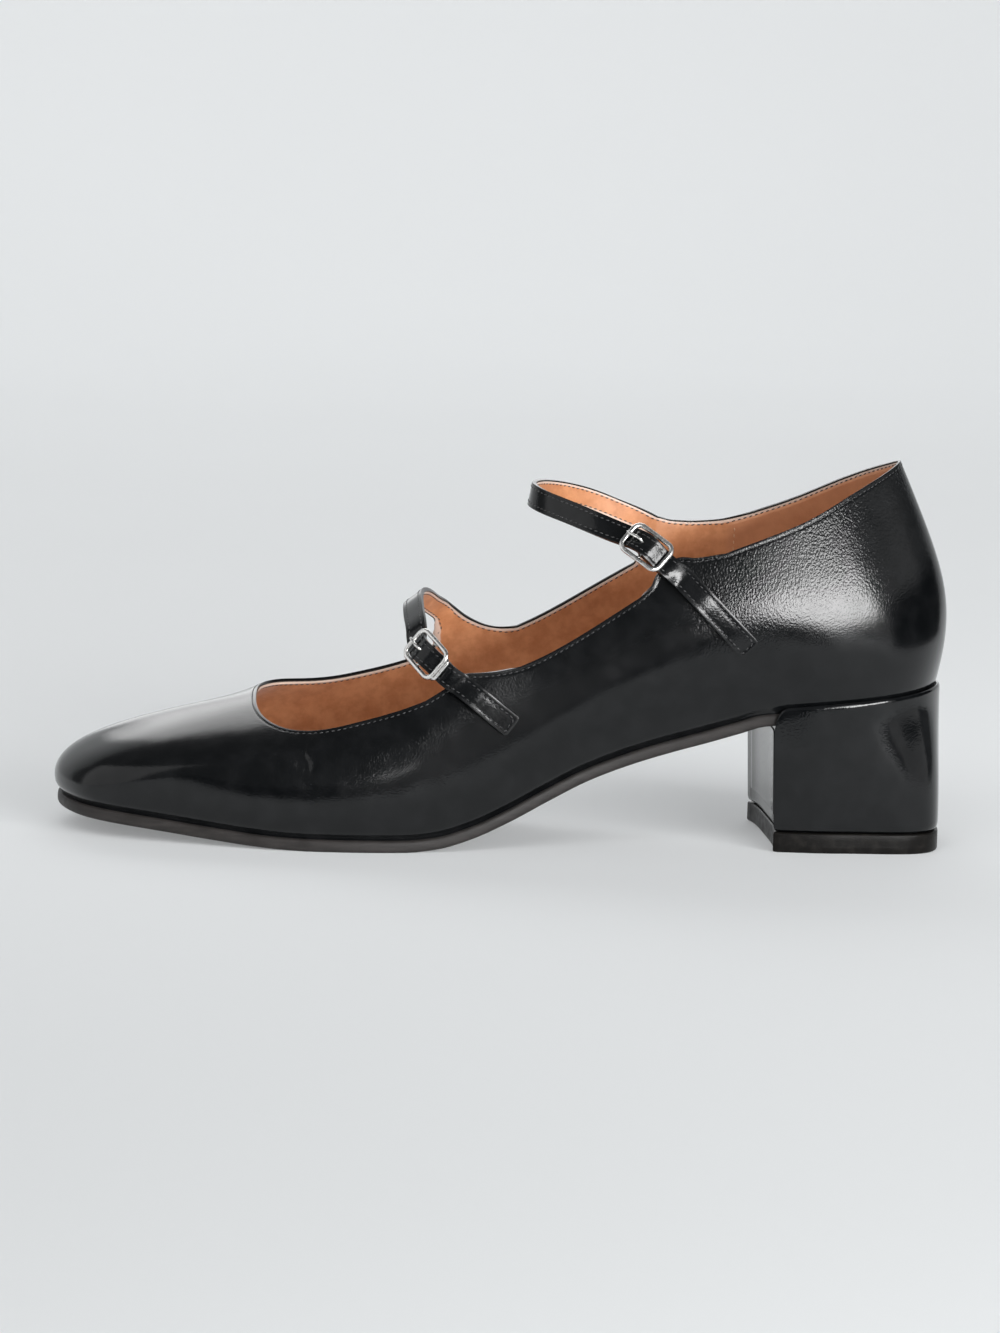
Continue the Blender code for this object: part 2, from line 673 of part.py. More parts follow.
class Seat:
    """Where a buckle sits: its centre, and its axes along and across the strap and outwards."""

    def __init__(self, centre, along, face):
        self.centre = np.array(centre)
        self.face = unit(face)
        self.along = unit(along - self.face * (np.array(along) @ self.face))
        self.across = np.cross(self.face, self.along)

    def row(self, place, height):
        """Row of a strap's path at a place along the buckle and a height over its plane."""
        return (*(self.centre + self.along * place + self.face * height), *self.across)

    def matrix(self, along=0.0, height=0.0):
        """Placement of an object at a place and height, in metres."""
        turn = Matrix((self.along, self.across, self.face)).transposed().to_4x4()
        return (Matrix.Translation(Vector(self.centre) * MM) @ turn
                @ Matrix.Translation((along * MM, 0.0, height * MM)))


def smooth_path(rows):
    """Smooth curve through rows that start with x y z, and its length."""
    steps = np.linalg.norm(np.diff(np.array(rows)[:, :3], axis=0), axis=1)
    knots = np.concatenate([[0.0], np.cumsum(steps)])
    return smooth_curve(knots, rows), knots


def band_frame(path, place, length):
    """Centre of a band at a place along its path, and its directions across and outwards."""
    ahead = unit(path(min(place + NUDGE, length))[:3] - path(max(place - NUDGE, 0.0))[:3])
    here = path(place)
    across = unit(here[3:] - ahead * (here[3:] @ ahead))
    return here[:3], across, np.cross(ahead, across)


def band(name, rows, width, thickness, count, collection):
    """Flat leather band swept along rows of centre x y z and across x y z."""
    path, knots = smooth_path(rows)
    points = []
    for place in np.linspace(0.0, knots[-1], count):
        centre, across, _ = band_frame(path, place, knots[-1])
        points += [centre + across * width / 2, centre - across * width / 2]
    faces = [(2 * i, 2 * i + 1, 2 * i + 3, 2 * i + 2) for i in range(count - 1)]
    body = add_object(name, mesh_from(name, points, faces), "strap_leather", collection)
    solidify(body, thickness, 0.0)
    return body


def root_row(side, arc):
    """First row of a strap, straight on from the end of its root on the medial wall."""
    stations, _ = STANDS[side + "_root"]
    front, rear = (upper_column(s, (1.0,))[0] for s in stations[ROOT_END[side]])
    across = unit(rear - front)
    middle = (front + rear) / 2
    ahead = np.array(arc[0][:3]) - middle
    ahead = unit(ahead - across * (ahead @ across))
    inwards = np.cross(ahead, across)
    inwards *= -math.copysign(1.0, inwards[1])
    return (*(middle + inwards * WALL / 2 + ahead * ROOT_GAP[side]), *across)


def tail_rows(surface, tail, above, places):
    """Rows on the lateral wall at places of a tail: 0 its start, 1 its chape's end, 2 its tip."""
    corners = np.array(tail)
    rows = []
    for place in places:
        x, z = (np.interp(place, (0, 1, 2), corners[:, k]) for k in (0, 1))
        point, face = lateral_wall(surface, x, z)
        ahead = np.array([corners[2, 0] - corners[0, 0], 0.0, corners[2, 1] - corners[0, 1]])
        rows.append((*(point + face * above(place)), *np.cross(face, unit(ahead))))
    return rows


def build_strap(side, arc, buckle, tail, surface, cutters, collection):
    """One strap with its buckle, pin and the chape that ties the buckle to the quarter."""
    seat = Seat(*buckle)
    wire = (BUCKLE_LENGTH - BUCKLE_WIRE) / 2
    under_wire = -(BUCKLE_WIRE / 2 + WIRE_GAP + STRAP_THICKNESS / 2)
    over_bar = -BAR_DROP + BAR_RADIUS + GAP + STRAP_THICKNESS / 2
    on_wall = WALL_GAP + STRAP_THICKNESS / 2
    on_chape = on_wall + CHAPE_GAP + CHAPE_THICKNESS

    def strap_above(place):
        return on_chape + (on_wall - on_chape) * ease(place, *CHAPE_FADE)

    rows = [
        root_row(side, arc),
        *arc,
        seat.row(-wire, under_wire),
        seat.row(0.0, over_bar),
        seat.row(wire, under_wire),
        seat.row(wire + BUCKLE_WIRE, under_wire - WIRE_GAP / 2),
        *tail_rows(surface, tail, strap_above, np.linspace(0, 2, TAIL_ROWS)),
    ]
    strap = band("strap_" + side, rows, STRAP_WIDTH, STRAP_THICKNESS, STRAP_STEPS, collection)
    path, knots = smooth_path(rows)
    exit_knot = len(arc) + 3
    under_strap = (STRAP_THICKNESS + CHAPE_THICKNESS) / 2 + CHAPE_GAP
    chape_rows = [seat.row(-BAR_RADIUS, -BAR_DROP - BAR_RADIUS - GAP - CHAPE_THICKNESS / 2)]
    for place in np.linspace(knots[exit_knot], knots[exit_knot + CHAPE_KNOTS], CHAPE_ROWS):
        centre, across, outwards = band_frame(path, place, knots[-1])
        chape_rows.append((*(centre - outwards * under_strap), *across))
    band("chape_" + side, chape_rows, CHAPE_WIDTH, CHAPE_THICKNESS, CHAPE_STEPS, collection)
    hole = hidden_cylinder("hole_" + side, HOLE_RADIUS, HOLE_DEPTH, seat.matrix(HOLE_PLACE), cutters)
    combine(strap, hole, "DIFFERENCE")
    build_buckle(side, seat, cutters, collection)
    build_pin(side, seat, over_bar + STRAP_THICKNESS / 2, collection)


def hidden_cylinder(name, radius, length, place, cutters):
    """Cylinder that other pieces are cut by or joined with, kept out of the shoe."""
    bpy.ops.mesh.primitive_cylinder_add(vertices=HOLE_FACETS, radius=radius * MM,
                                        depth=length * MM)
    cylinder = bpy.context.object
    cylinder.name = name
    for home in list(cylinder.users_collection):
        home.objects.unlink(cylinder)
    cutters.objects.link(cylinder)
    cylinder.matrix_world = place
    cylinder.hide_render = True
    cylinder.display_type = "WIRE"
    return cylinder


def combine(body, other, operation):
    """Exact boolean of a body with a hidden one."""
    boolean = body.modifiers.new(other.name, "BOOLEAN")
    boolean.operation = operation
    boolean.solver = "EXACT"
    boolean.object = other


def wire_curve(name, points, radius, closed):
    """Round wire through points, as a curve with filled caps."""
    curve = bpy.data.curves.new(name, "CURVE")
    curve.dimensions = "3D"
    curve.bevel_depth = radius * MM
    curve.bevel_resolution = WIRE_FACETS
    curve.use_fill_caps = not closed
    line = curve.splines.new("POLY")
    line.points.add(len(points) - 1)
    for slot, point in zip(line.points, points):
        slot.co = (*(Vector(point) * MM), 1.0)
    line.use_cyclic_u = closed
    return curve


def build_buckle(side, seat, cutters, collection):
    """Frame of round wire with rounded corners and a bar across its middle, one casting."""
    reach = np.array([BUCKLE_LENGTH - BUCKLE_WIRE, BUCKLE_WIDTH - BUCKLE_WIRE]) / 2
    outline = []
    for quarter, corner in enumerate(((1, 1), (-1, 1), (-1, -1), (1, -1))):
        middle = (reach - BUCKLE_CORNER) * corner
        for step in range(CORNER_FACETS + 1):
            angle = math.pi / 2 * (quarter + step / CORNER_FACETS)
            outline.append((middle[0] + BUCKLE_CORNER * math.cos(angle),
                            middle[1] + BUCKLE_CORNER * math.sin(angle), 0.0))
    wire = bpy.data.objects.new("wire_" + side,
                                wire_curve("wire_" + side, outline, BUCKLE_WIRE / 2, True))
    collection.objects.link(wire)
    wire.matrix_world = seat.matrix()
    graph = bpy.context.evaluated_depsgraph_get()
    mesh = bpy.data.meshes.new_from_object(wire.evaluated_get(graph))
    buckle = add_object("buckle_" + side, mesh, "buckle_metal", collection)
    buckle.matrix_world = wire.matrix_world
    bpy.data.objects.remove(wire)
    bar_place = seat.matrix(height=-BAR_DROP) @ Matrix.Rotation(math.pi / 2, 4, "X")
    bar = hidden_cylinder("bar_" + side, BAR_RADIUS, 2 * reach[1], bar_place, cutters)
    combine(buckle, bar, "UNION")


def build_pin(side, seat, strap_top, collection):
    """Pin that rises from beside the bar through the strap and rests on the frame."""
    frame_end = (BUCKLE_LENGTH - BUCKLE_WIRE) / 2
    on_strap = strap_top + GAP + PIN_RADIUS
    on_frame = BUCKLE_WIRE / 2 + GAP + PIN_RADIUS
    bend = PIN_RADIUS * 1.2
    points = (
        (HOLE_PLACE + bend, 0.0, -BAR_DROP),
        (HOLE_PLACE + bend / 4, 0.0, BAR_RADIUS / 2),
        (HOLE_PLACE - bend / 2, 0.0, on_strap - bend),
        (HOLE_PLACE - 1.5 * bend, 0.0, on_strap),
        (-frame_end * 0.7, 0.0, (on_strap + on_frame) / 2),
        (-frame_end - BUCKLE_WIRE / 3, 0.0, on_frame),
    )
    pin = add_object("pin_" + side, wire_curve("pin_" + side, points, PIN_RADIUS, False),
                     "buckle_metal", collection)
    pin.matrix_world = seat.matrix()


def build_shoe():
    """Build every piece of the shoe."""
    for body in list(bpy.data.objects):
        bpy.data.objects.remove(body)
    shoe = bpy.data.collections.new("double_strap_pump")
    cutters = bpy.data.collections.new("cutters")
    for collection in (shoe, cutters):
        bpy.context.scene.collection.children.link(collection)
    surface = build_upper(shoe)
    build_sole(shoe)
    build_insole(shoe)
    build_heel(shoe)
    build_strap("front", FRONT_ARC, FRONT_BUCKLE, FRONT_TAIL, surface, cutters, shoe)
    build_strap("rear", REAR_ARC, REAR_BUCKLE, REAR_TAIL, surface, cutters, shoe)


build_shoe()
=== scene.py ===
"""Looks of a left-foot pump with two buckled instep straps and a covered block heel.

The toe points to -X and the heel to +X. The lateral (outer) side faces -Y, the medial
side +Y, and up is +Z. Tables and sizes are in millimetres, and MM turns them into metres.

Stations number the places round the foot: 0 is the toe, -18 to -1 run up the lateral
side from the back seam to the toe, and 1 to 18 run down the medial side to the back seam.
"""

from __future__ import annotations

import logging
import math
from dataclasses import dataclass, field
from enum import Enum
from typing import Callable, Sequence

import bmesh
import bpy
import numpy as np
from mathutils import Matrix, Quaternion, Vector
from mathutils.bvhtree import BVHTree
from mathutils.kdtree import KDTree

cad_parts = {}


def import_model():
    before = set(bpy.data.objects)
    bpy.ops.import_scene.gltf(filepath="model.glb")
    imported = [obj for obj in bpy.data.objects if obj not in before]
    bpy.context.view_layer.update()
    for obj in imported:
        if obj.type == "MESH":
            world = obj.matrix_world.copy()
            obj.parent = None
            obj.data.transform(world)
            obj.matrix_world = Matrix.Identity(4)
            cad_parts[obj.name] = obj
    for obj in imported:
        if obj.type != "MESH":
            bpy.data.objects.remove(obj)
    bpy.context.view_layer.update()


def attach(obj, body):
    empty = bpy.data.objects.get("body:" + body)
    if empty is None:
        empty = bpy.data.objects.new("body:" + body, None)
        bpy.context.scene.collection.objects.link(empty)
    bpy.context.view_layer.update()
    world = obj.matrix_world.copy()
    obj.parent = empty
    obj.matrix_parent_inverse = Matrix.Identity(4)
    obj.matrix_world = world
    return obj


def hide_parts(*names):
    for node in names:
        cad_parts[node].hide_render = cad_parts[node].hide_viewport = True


LOG = logging.getLogger("pump")
MM = 0.001
BODY = "root"

Array = np.ndarray
Row = Sequence[float]
Pair = tuple[float, float]
Faces = list[tuple[int, ...]]
Along = Callable[[Array], Array]
Piece = bpy.types.Object
Finish = bpy.types.Material
Socket = bpy.types.NodeSocket
Inputs = dict[int | str, object]

# --- driving sizes and tables

GAP = 0.3
LEATHER = 0.8
STRAP_LEATHER = 1.25
SOLE_THICKNESS = 3.4
SOLE_WELT = 0.8
SEAT_START = 73.5
SEAT_SLOPE = 0.1
SEAT_INSET = 0.4
SEAT_BLEND = (58.0, 74.0)
BOARD_THICKNESS = 2.4
LIFT_HEIGHT = 5.7
BACK_STATION = 18
FOOT_X = 0
TOP_X = 4
STRAP_WIDTH = 6.4
STRAP_THICKNESS = 1.4
BUCKLE_WIRE = 1.4
SHARP_ANGLE = 50.0
DOUBLED = 0.004
SLIVER = 0.001
CAP_SHARES = (0.66, 0.33)
STITCH_BELOW = 1.15

# Underside of the sole along the foot: x, z
SOLE_BOTTOM = (
    (-125, 6.4), (-113, 5.4), (-102, 4.3), (-91, 3.1), (-80, 1.9), (-69, 0.8), (-60, 0.2), (-52, 0),
    (-27, 0), (-18, 0.8), (-8.5, 3.4), (1.5, 7.7), (13, 13.7), (24, 19.2), (36, 23.8), (47, 27.3),
    (57, 30.2), (66, 33), (SEAT_START, 35.3),
)

# Upper, one row a station from the lateral side of the back seam round the toe:
# featherline x y, lean and rise of the wall above it, topline x y z, and the pull that
# the wall's surface leaves the topline with, x y z
UPPER_TABLE = (
    (-18, 122.9, 0, 6.7, 26, 111.3, 0, 108.2, 14.4, 0, -32),
    (-17, 120.9, -8.8, 6.5, 25, 109, -5.8, 106.9, 13.5, -3.5, -31),
    (-16, 115.4, -17.6, 6, 22.5, 102.5, -13.2, 103.6, 10, -6.5, -29),
    (-15, 105, -24.2, 5.5, 20, 93.5, -20.2, 99, 5, -8, -27.5),
    (-14, 89, -26.2, 5.5, 18, 82, -25.4, 92.8, 2, -7, -26),
    (-13, 69, -24.6, 6.5, 17, 66, -27.6, 86.3, 1, -6.5, -24),
    (-12, 48, -24, 6.5, 15, 47, -28, 77.6, 1, -6.5, -22),
    (-11, 26, -25.8, 5.5, 13, 26, -28.9, 64, 1, -6, -18),
    (-10, 4, -30.5, 4, 12, 7, -30.8, 53, 0, -5, -16),
    (-9, -18, -35.6, 3.5, 12, -10.5, -32.6, 46.6, -1, -5, -15),
    (-8, -38, -38.2, 3.5, 11, -26, -33, 40.2, -2, -6.5, -13),
    (-7, -58, -37.2, 4, 11, -38.5, -32.2, 36, -3, -8.5, -11),
    (-6, -77, -33.6, 4.5, 12, -49, -30, 33, -4, -10.5, -9),
    (-5, -93, -29.6, 5, 14, -57.5, -27.2, 32.1, -6, -12, -8),
    (-4, -105, -26.6, 6, 15, -63, -23.2, 32.9, -11, -13, -7.5),
    (-3, -113.6, -22.2, 7, 15.5, -66.5, -17.6, 34.4, -18, -12, -7),
    (-2, -118.8, -15.6, 8, 16, -68.2, -11, 36.1, -23, -9, -6),
    (-1, -122.1, -7, 9.6, 15.6, -68.6, -4.4, 37.4, -26, -4, -5.4),
    (0, -123.2, 2, 10.4, 16.3, -68.5, 2.4, 38.2, -28, 0, -5.8),
    (1, -122.2, 11, 9.8, 16, -68.1, 9.2, 38.6, -26, 4, -9),
    (2, -119.3, 19, 8.4, 15.5, -67, 15.4, 38.8, -22, 7, -11.5),
    (3, -114, 25.2, 7, 15.5, -64.6, 20.8, 38.8, -17, 9.5, -11.5),
    (4, -105.4, 29.5, 6, 15.5, -60.8, 25, 38.7, -11, 11, -10.2),
    (5, -93, 32.4, 5, 15, -54.5, 28.2, 38.5, -6.5, 10.5, -10.5),
    (6, -77, 35, 4.5, 15, -46.5, 30.3, 39, -4, 10, -11),
    (7, -60, 36.6, 4, 14, -37.5, 31.3, 40.8, -3, 8.5, -13),
    (8, -42, 35.6, 3.5, 14, -26, 31.6, 44, -2, 7, -15),
    (9, -22, 30.4, 4, 14, -11, 31, 49.3, -1, 6, -17),
    (10, 0, 24.2, 6, 14, 6, 29.8, 55, 0, 6, -18),
    (11, 22, 20.8, 8, 16, 24.5, 28.6, 65.4, 1, 6, -20),
    (12, 44, 20.9, 8.5, 17, 43, 28, 76.4, 1, 6, -22),
    (13, 66, 23, 7, 18, 63.5, 27.6, 86.4, 1, 6, -24),
    (14, 88, 25.6, 5.5, 18, 81.5, 25.8, 93.2, 2, 6.5, -26),
    (15, 104.6, 24, 5.5, 20, 93.5, 21.2, 99, 5, 8, -27.5),
    (16, 115.3, 17.4, 6, 22.5, 102.7, 14.2, 103.8, 10, 6.5, -29),
    (17, 120.9, 8.7, 6.5, 25, 109.2, 6.2, 107, 13.5, 3.5, -31),
)

# Leather that stands above the even topline: x of the even topline, then how far the
# edge stands from it, x y z
FRONT_ROOT = (
    (-26, 0, 0, 0), (-21, 0.3, -0.1, 0.6), (-17.3, 0.9, -0.8, 3.2), (-15.8, -2.4, -6.2, 9.4),
    (-11, -2.3, -6, 12.3), (-7.6, -1.1, -3.4, 7.6), (-3, -0.4, -0.9, 3.6), (1, 0, -0.2, 1.5),
    (6, 0, 0, 0),
)
REAR_ROOT = (
    (39, 0, 0, 0), (42.3, 0.5, 0, 2), (43.6, -0.4, -0.2, 5.6), (45.2, 0.5, -0.7, 10.2),
    (51, -1, -0.6, 6.3), (58.5, -0.5, -0.3, 2.7), (66, 0, 0, 0.5), (72, 0, 0, 0),
)
FRONT_TAB = (
    (-22, 0, 0, 0), (-16.5, 0, 0.4, 1.2), (-12, 0, 0.5, 3.2), (-7, 0, 0.3, 2), (-2, 0, 0, 0.8),
    (4, 0, 0, 0),
)
REAR_TAB = (
    (36.5, 0, 0, 0), (40, 0, 0, 1), (42, -0.4, 0.4, 3.4), (46, 0, 1, 4.9), (52.5, 0, 0.4, 2),
    (60, 0, 0, 0),
)

# Free run of each strap from its medial root to its buckle: centre x y z, and the
# direction across it from its front edge to its rear edge, x y z
FRONT_ARC = (
    (-18.8, 19, 61.9, 0.78, 0.04, 0.63),
    (-21.7, 11, 64.8, 0.78, 0.02, 0.63),
    (-24.4, 1.5, 66.2, 0.78, 0, 0.63),
    (-25.1, -8, 65.2, 0.77, -0.03, 0.64),
    (-24.9, -16, 63, 0.75, -0.06, 0.66),
    (-24.5, -22.3, 60.2, 0.7, -0.1, 0.7),
)
REAR_ARC = (
    (35, 25.4, 89, 0, 0, 1),
    (26, 22.2, 92.6, 0.08, 0, 1),
    (17, 16.2, 95.2, 0.12, 0, 0.99),
    (10, 7.4, 96.5, 0.16, 0, 0.98),
    (7.7, -1, 96.4, 0.18, -0.02, 0.98),
    (10.4, -9.2, 95.2, 0.28, 0, 0.95),
    (17, -17, 93.2, 0.42, 0.1, 0.9),
    (24.6, -22.4, 90.6, 0.52, 0.25, 0.82),
)


# --- numbers and curves


def unit(vectors: Array | Row) -> Array:
    """Vectors scaled to length 1 along their last axis."""
    vectors = np.asarray(vectors, float)
    return vectors / np.linalg.norm(vectors, axis=-1, keepdims=True)


def ease(value: Array | float, start: float, end: float) -> Array:
    """Smooth step from 0 at start to 1 at end."""
    t = np.clip((np.asarray(value, float) - start) / (end - start), 0.0, 1.0)
    return t * t * (3 - 2 * t)


def lengths(points: Array) -> Array:
    """Distance of each point from the first, along the line through them."""
    return np.concatenate([[0.0], np.cumsum(np.linalg.norm(np.diff(points, axis=0), axis=1))])


def resample(wanted: Array, places: Array, points: Array) -> Array:
    """Points at the wanted places, between points that stand at known places."""
    return np.stack([np.interp(wanted, places, column) for column in points.T], axis=1)


def square_to(vectors: Array, ahead: Array) -> Array:
    """Unit vectors left when the part along the unit directions ahead is taken off."""
    return unit(vectors - ahead * np.sum(ahead * vectors, axis=-1, keepdims=True))


def hump(value: Array | float, middle: float, width: float) -> Array:
    """Bell that is 1 at its middle and falls to about a third at its width."""
    return np.exp(-((np.asarray(value, float) - middle) / width) ** 2)


class Spline:
    """Cubic through rows at rising knots, closed on itself where it has a period."""

    def __init__(self, knots: Row, rows: Sequence[Row] | Array, period: float = 0.0) -> None:
        """Solve the curve's bends.

        Args:
            knots: rising place of each row.
            rows: values at the knots, one row each.
            period: distance after which the curve closes, or 0.
        """
        self.knots = np.asarray(knots, float)
        self.rows = np.asarray(rows, float)
        self.period = period
        if period:
            self.knots = np.append(self.knots, self.knots[0] + period)
            self.rows = np.vstack([self.rows, self.rows[:1]])
        step = np.diff(self.knots)
        rise = np.diff(self.rows, axis=0) / step[:, None]
        count = len(self.knots)
        system = np.zeros((count, count))
        right = np.zeros_like(self.rows)
        for i in range(1, count - 1):
            system[i, i - 1:i + 2] = step[i - 1], 2 * (step[i - 1] + step[i]), step[i]
            right[i] = 6 * (rise[i] - rise[i - 1])
        if period:
            system[0, [0, -1]] = 1, -1
            system[-1, [0, 1, -2, -1]] = 2 * step[0], step[0], step[-1], 2 * step[-1]
            right[-1] = 6 * (rise[0] - rise[-1])
        else:
            system[0, 0] = system[-1, -1] = 1
        self.bends = np.linalg.solve(system, right)

    def __call__(self, places: Array | float) -> Array:
        """Value at a place, or one row for each of several places."""
        t = np.asarray(places, float)
        if self.period:
            t = self.knots[0] + (t - self.knots[0]) % self.period
        i = np.clip(np.searchsorted(self.knots, t, side="right") - 1, 0, len(self.knots) - 2)
        step = self.knots[i + 1] - self.knots[i]
        a = ((self.knots[i + 1] - t) / step)[..., None]
        b = ((t - self.knots[i]) / step)[..., None]
        curved = (a**3 - a) * self.bends[i] + (b**3 - b) * self.bends[i + 1]
        return a * self.rows[i] + b * self.rows[i + 1] + curved * (step**2)[..., None] / 6


class EvenCurve:
    """Cubic through rows that doesn't overshoot between any two of them."""

    def __init__(self, knots: Row, rows: Sequence[Row] | Array,
                 last_slope: float | None = None) -> None:
        """Work out the slope at each row.

        Args:
            knots: rising place of each row.
            rows: values at the knots, one row each.
            last_slope: slope to leave the last row with, or None for its chord's.
        """
        self.knots = np.asarray(knots, float)
        self.rows = np.asarray(rows, float)
        rise = np.diff(self.rows, axis=0) / np.diff(self.knots)[:, None]
        before, after = rise[:-1], rise[1:]
        same = before * after > 0
        safe_before, safe_after = np.where(same, before, 1.0), np.where(same, after, 1.0)
        inner = np.where(same, 2 / (1 / safe_before + 1 / safe_after), 0.0)
        last = rise[-1:] if last_slope is None else np.full_like(rise[-1:], last_slope)
        self.slopes = np.vstack([rise[:1], inner, last])

    def __call__(self, places: Array | float) -> Array:
        """Value at a place, or one row for each place, going on straight past both ends."""
        t = np.asarray(places, float)
        i = np.clip(np.searchsorted(self.knots, t, side="right") - 1, 0, len(self.knots) - 2)
        run = (self.knots[i + 1] - self.knots[i])[..., None]
        u = np.clip((t - self.knots[i])[..., None] / run, 0.0, 1.0)
        start = self.rows[i] * (1 + 2 * u) * (1 - u)**2 + self.slopes[i] * run * u * (1 - u)**2
        end = self.rows[i + 1] * u * u * (3 - 2 * u) + self.slopes[i + 1] * run * u * u * (u - 1)
        over = np.minimum(t - self.knots[0], 0.0)[..., None] * self.slopes[0]
        past = np.maximum(t - self.knots[-1], 0.0)[..., None] * self.slopes[-1]
        return start + end + over + past


# --- form of the shoe


class Side(Enum):
    """Side of the foot, by the sign of its stations and of Y."""

    LATERAL = -1
    MEDIAL = 1


@dataclass
class Stand:
    """Stretch of the topline whose edge stands up: a strap's root or a buckle's tab."""

    side: Side
    table: Sequence[Row]
    corners: tuple[int, int] | None = None
    stations: Array = field(init=False)
    parts: list[tuple[float, float, Along]] = field(init=False)

    def settle(self, station_at: Callable[[Side, Array], Array]) -> None:
        """Turn the table's places into stations and its rows into smooth runs.

        Args:
            station_at: gives the stations of one side where the topline reaches these x.
        """
        rows = np.asarray(self.table, float)
        stations = station_at(self.side, rows[:, 0])
        order = np.argsort(stations)
        self.stations = stations[order]
        stands = rows[order, 1:]
        first, last = self.corners or (len(stations) - 1, len(stations) - 1)
        cuts = sorted({0, first, last, len(stations) - 1})
        self.parts = []
        for start, end in zip(cuts[:-1], cuts[1:]):
            run = EvenCurve(self.stations[start:end + 1], stands[start:end + 1])
            self.parts.append((self.stations[start], self.stations[end], run))

    def at(self, station: float) -> Array:
        """How far the edge stands above the even topline at a station."""
        for start, end, run in self.parts:
            if start <= station <= end:
                return run(station)
        return np.zeros(3)


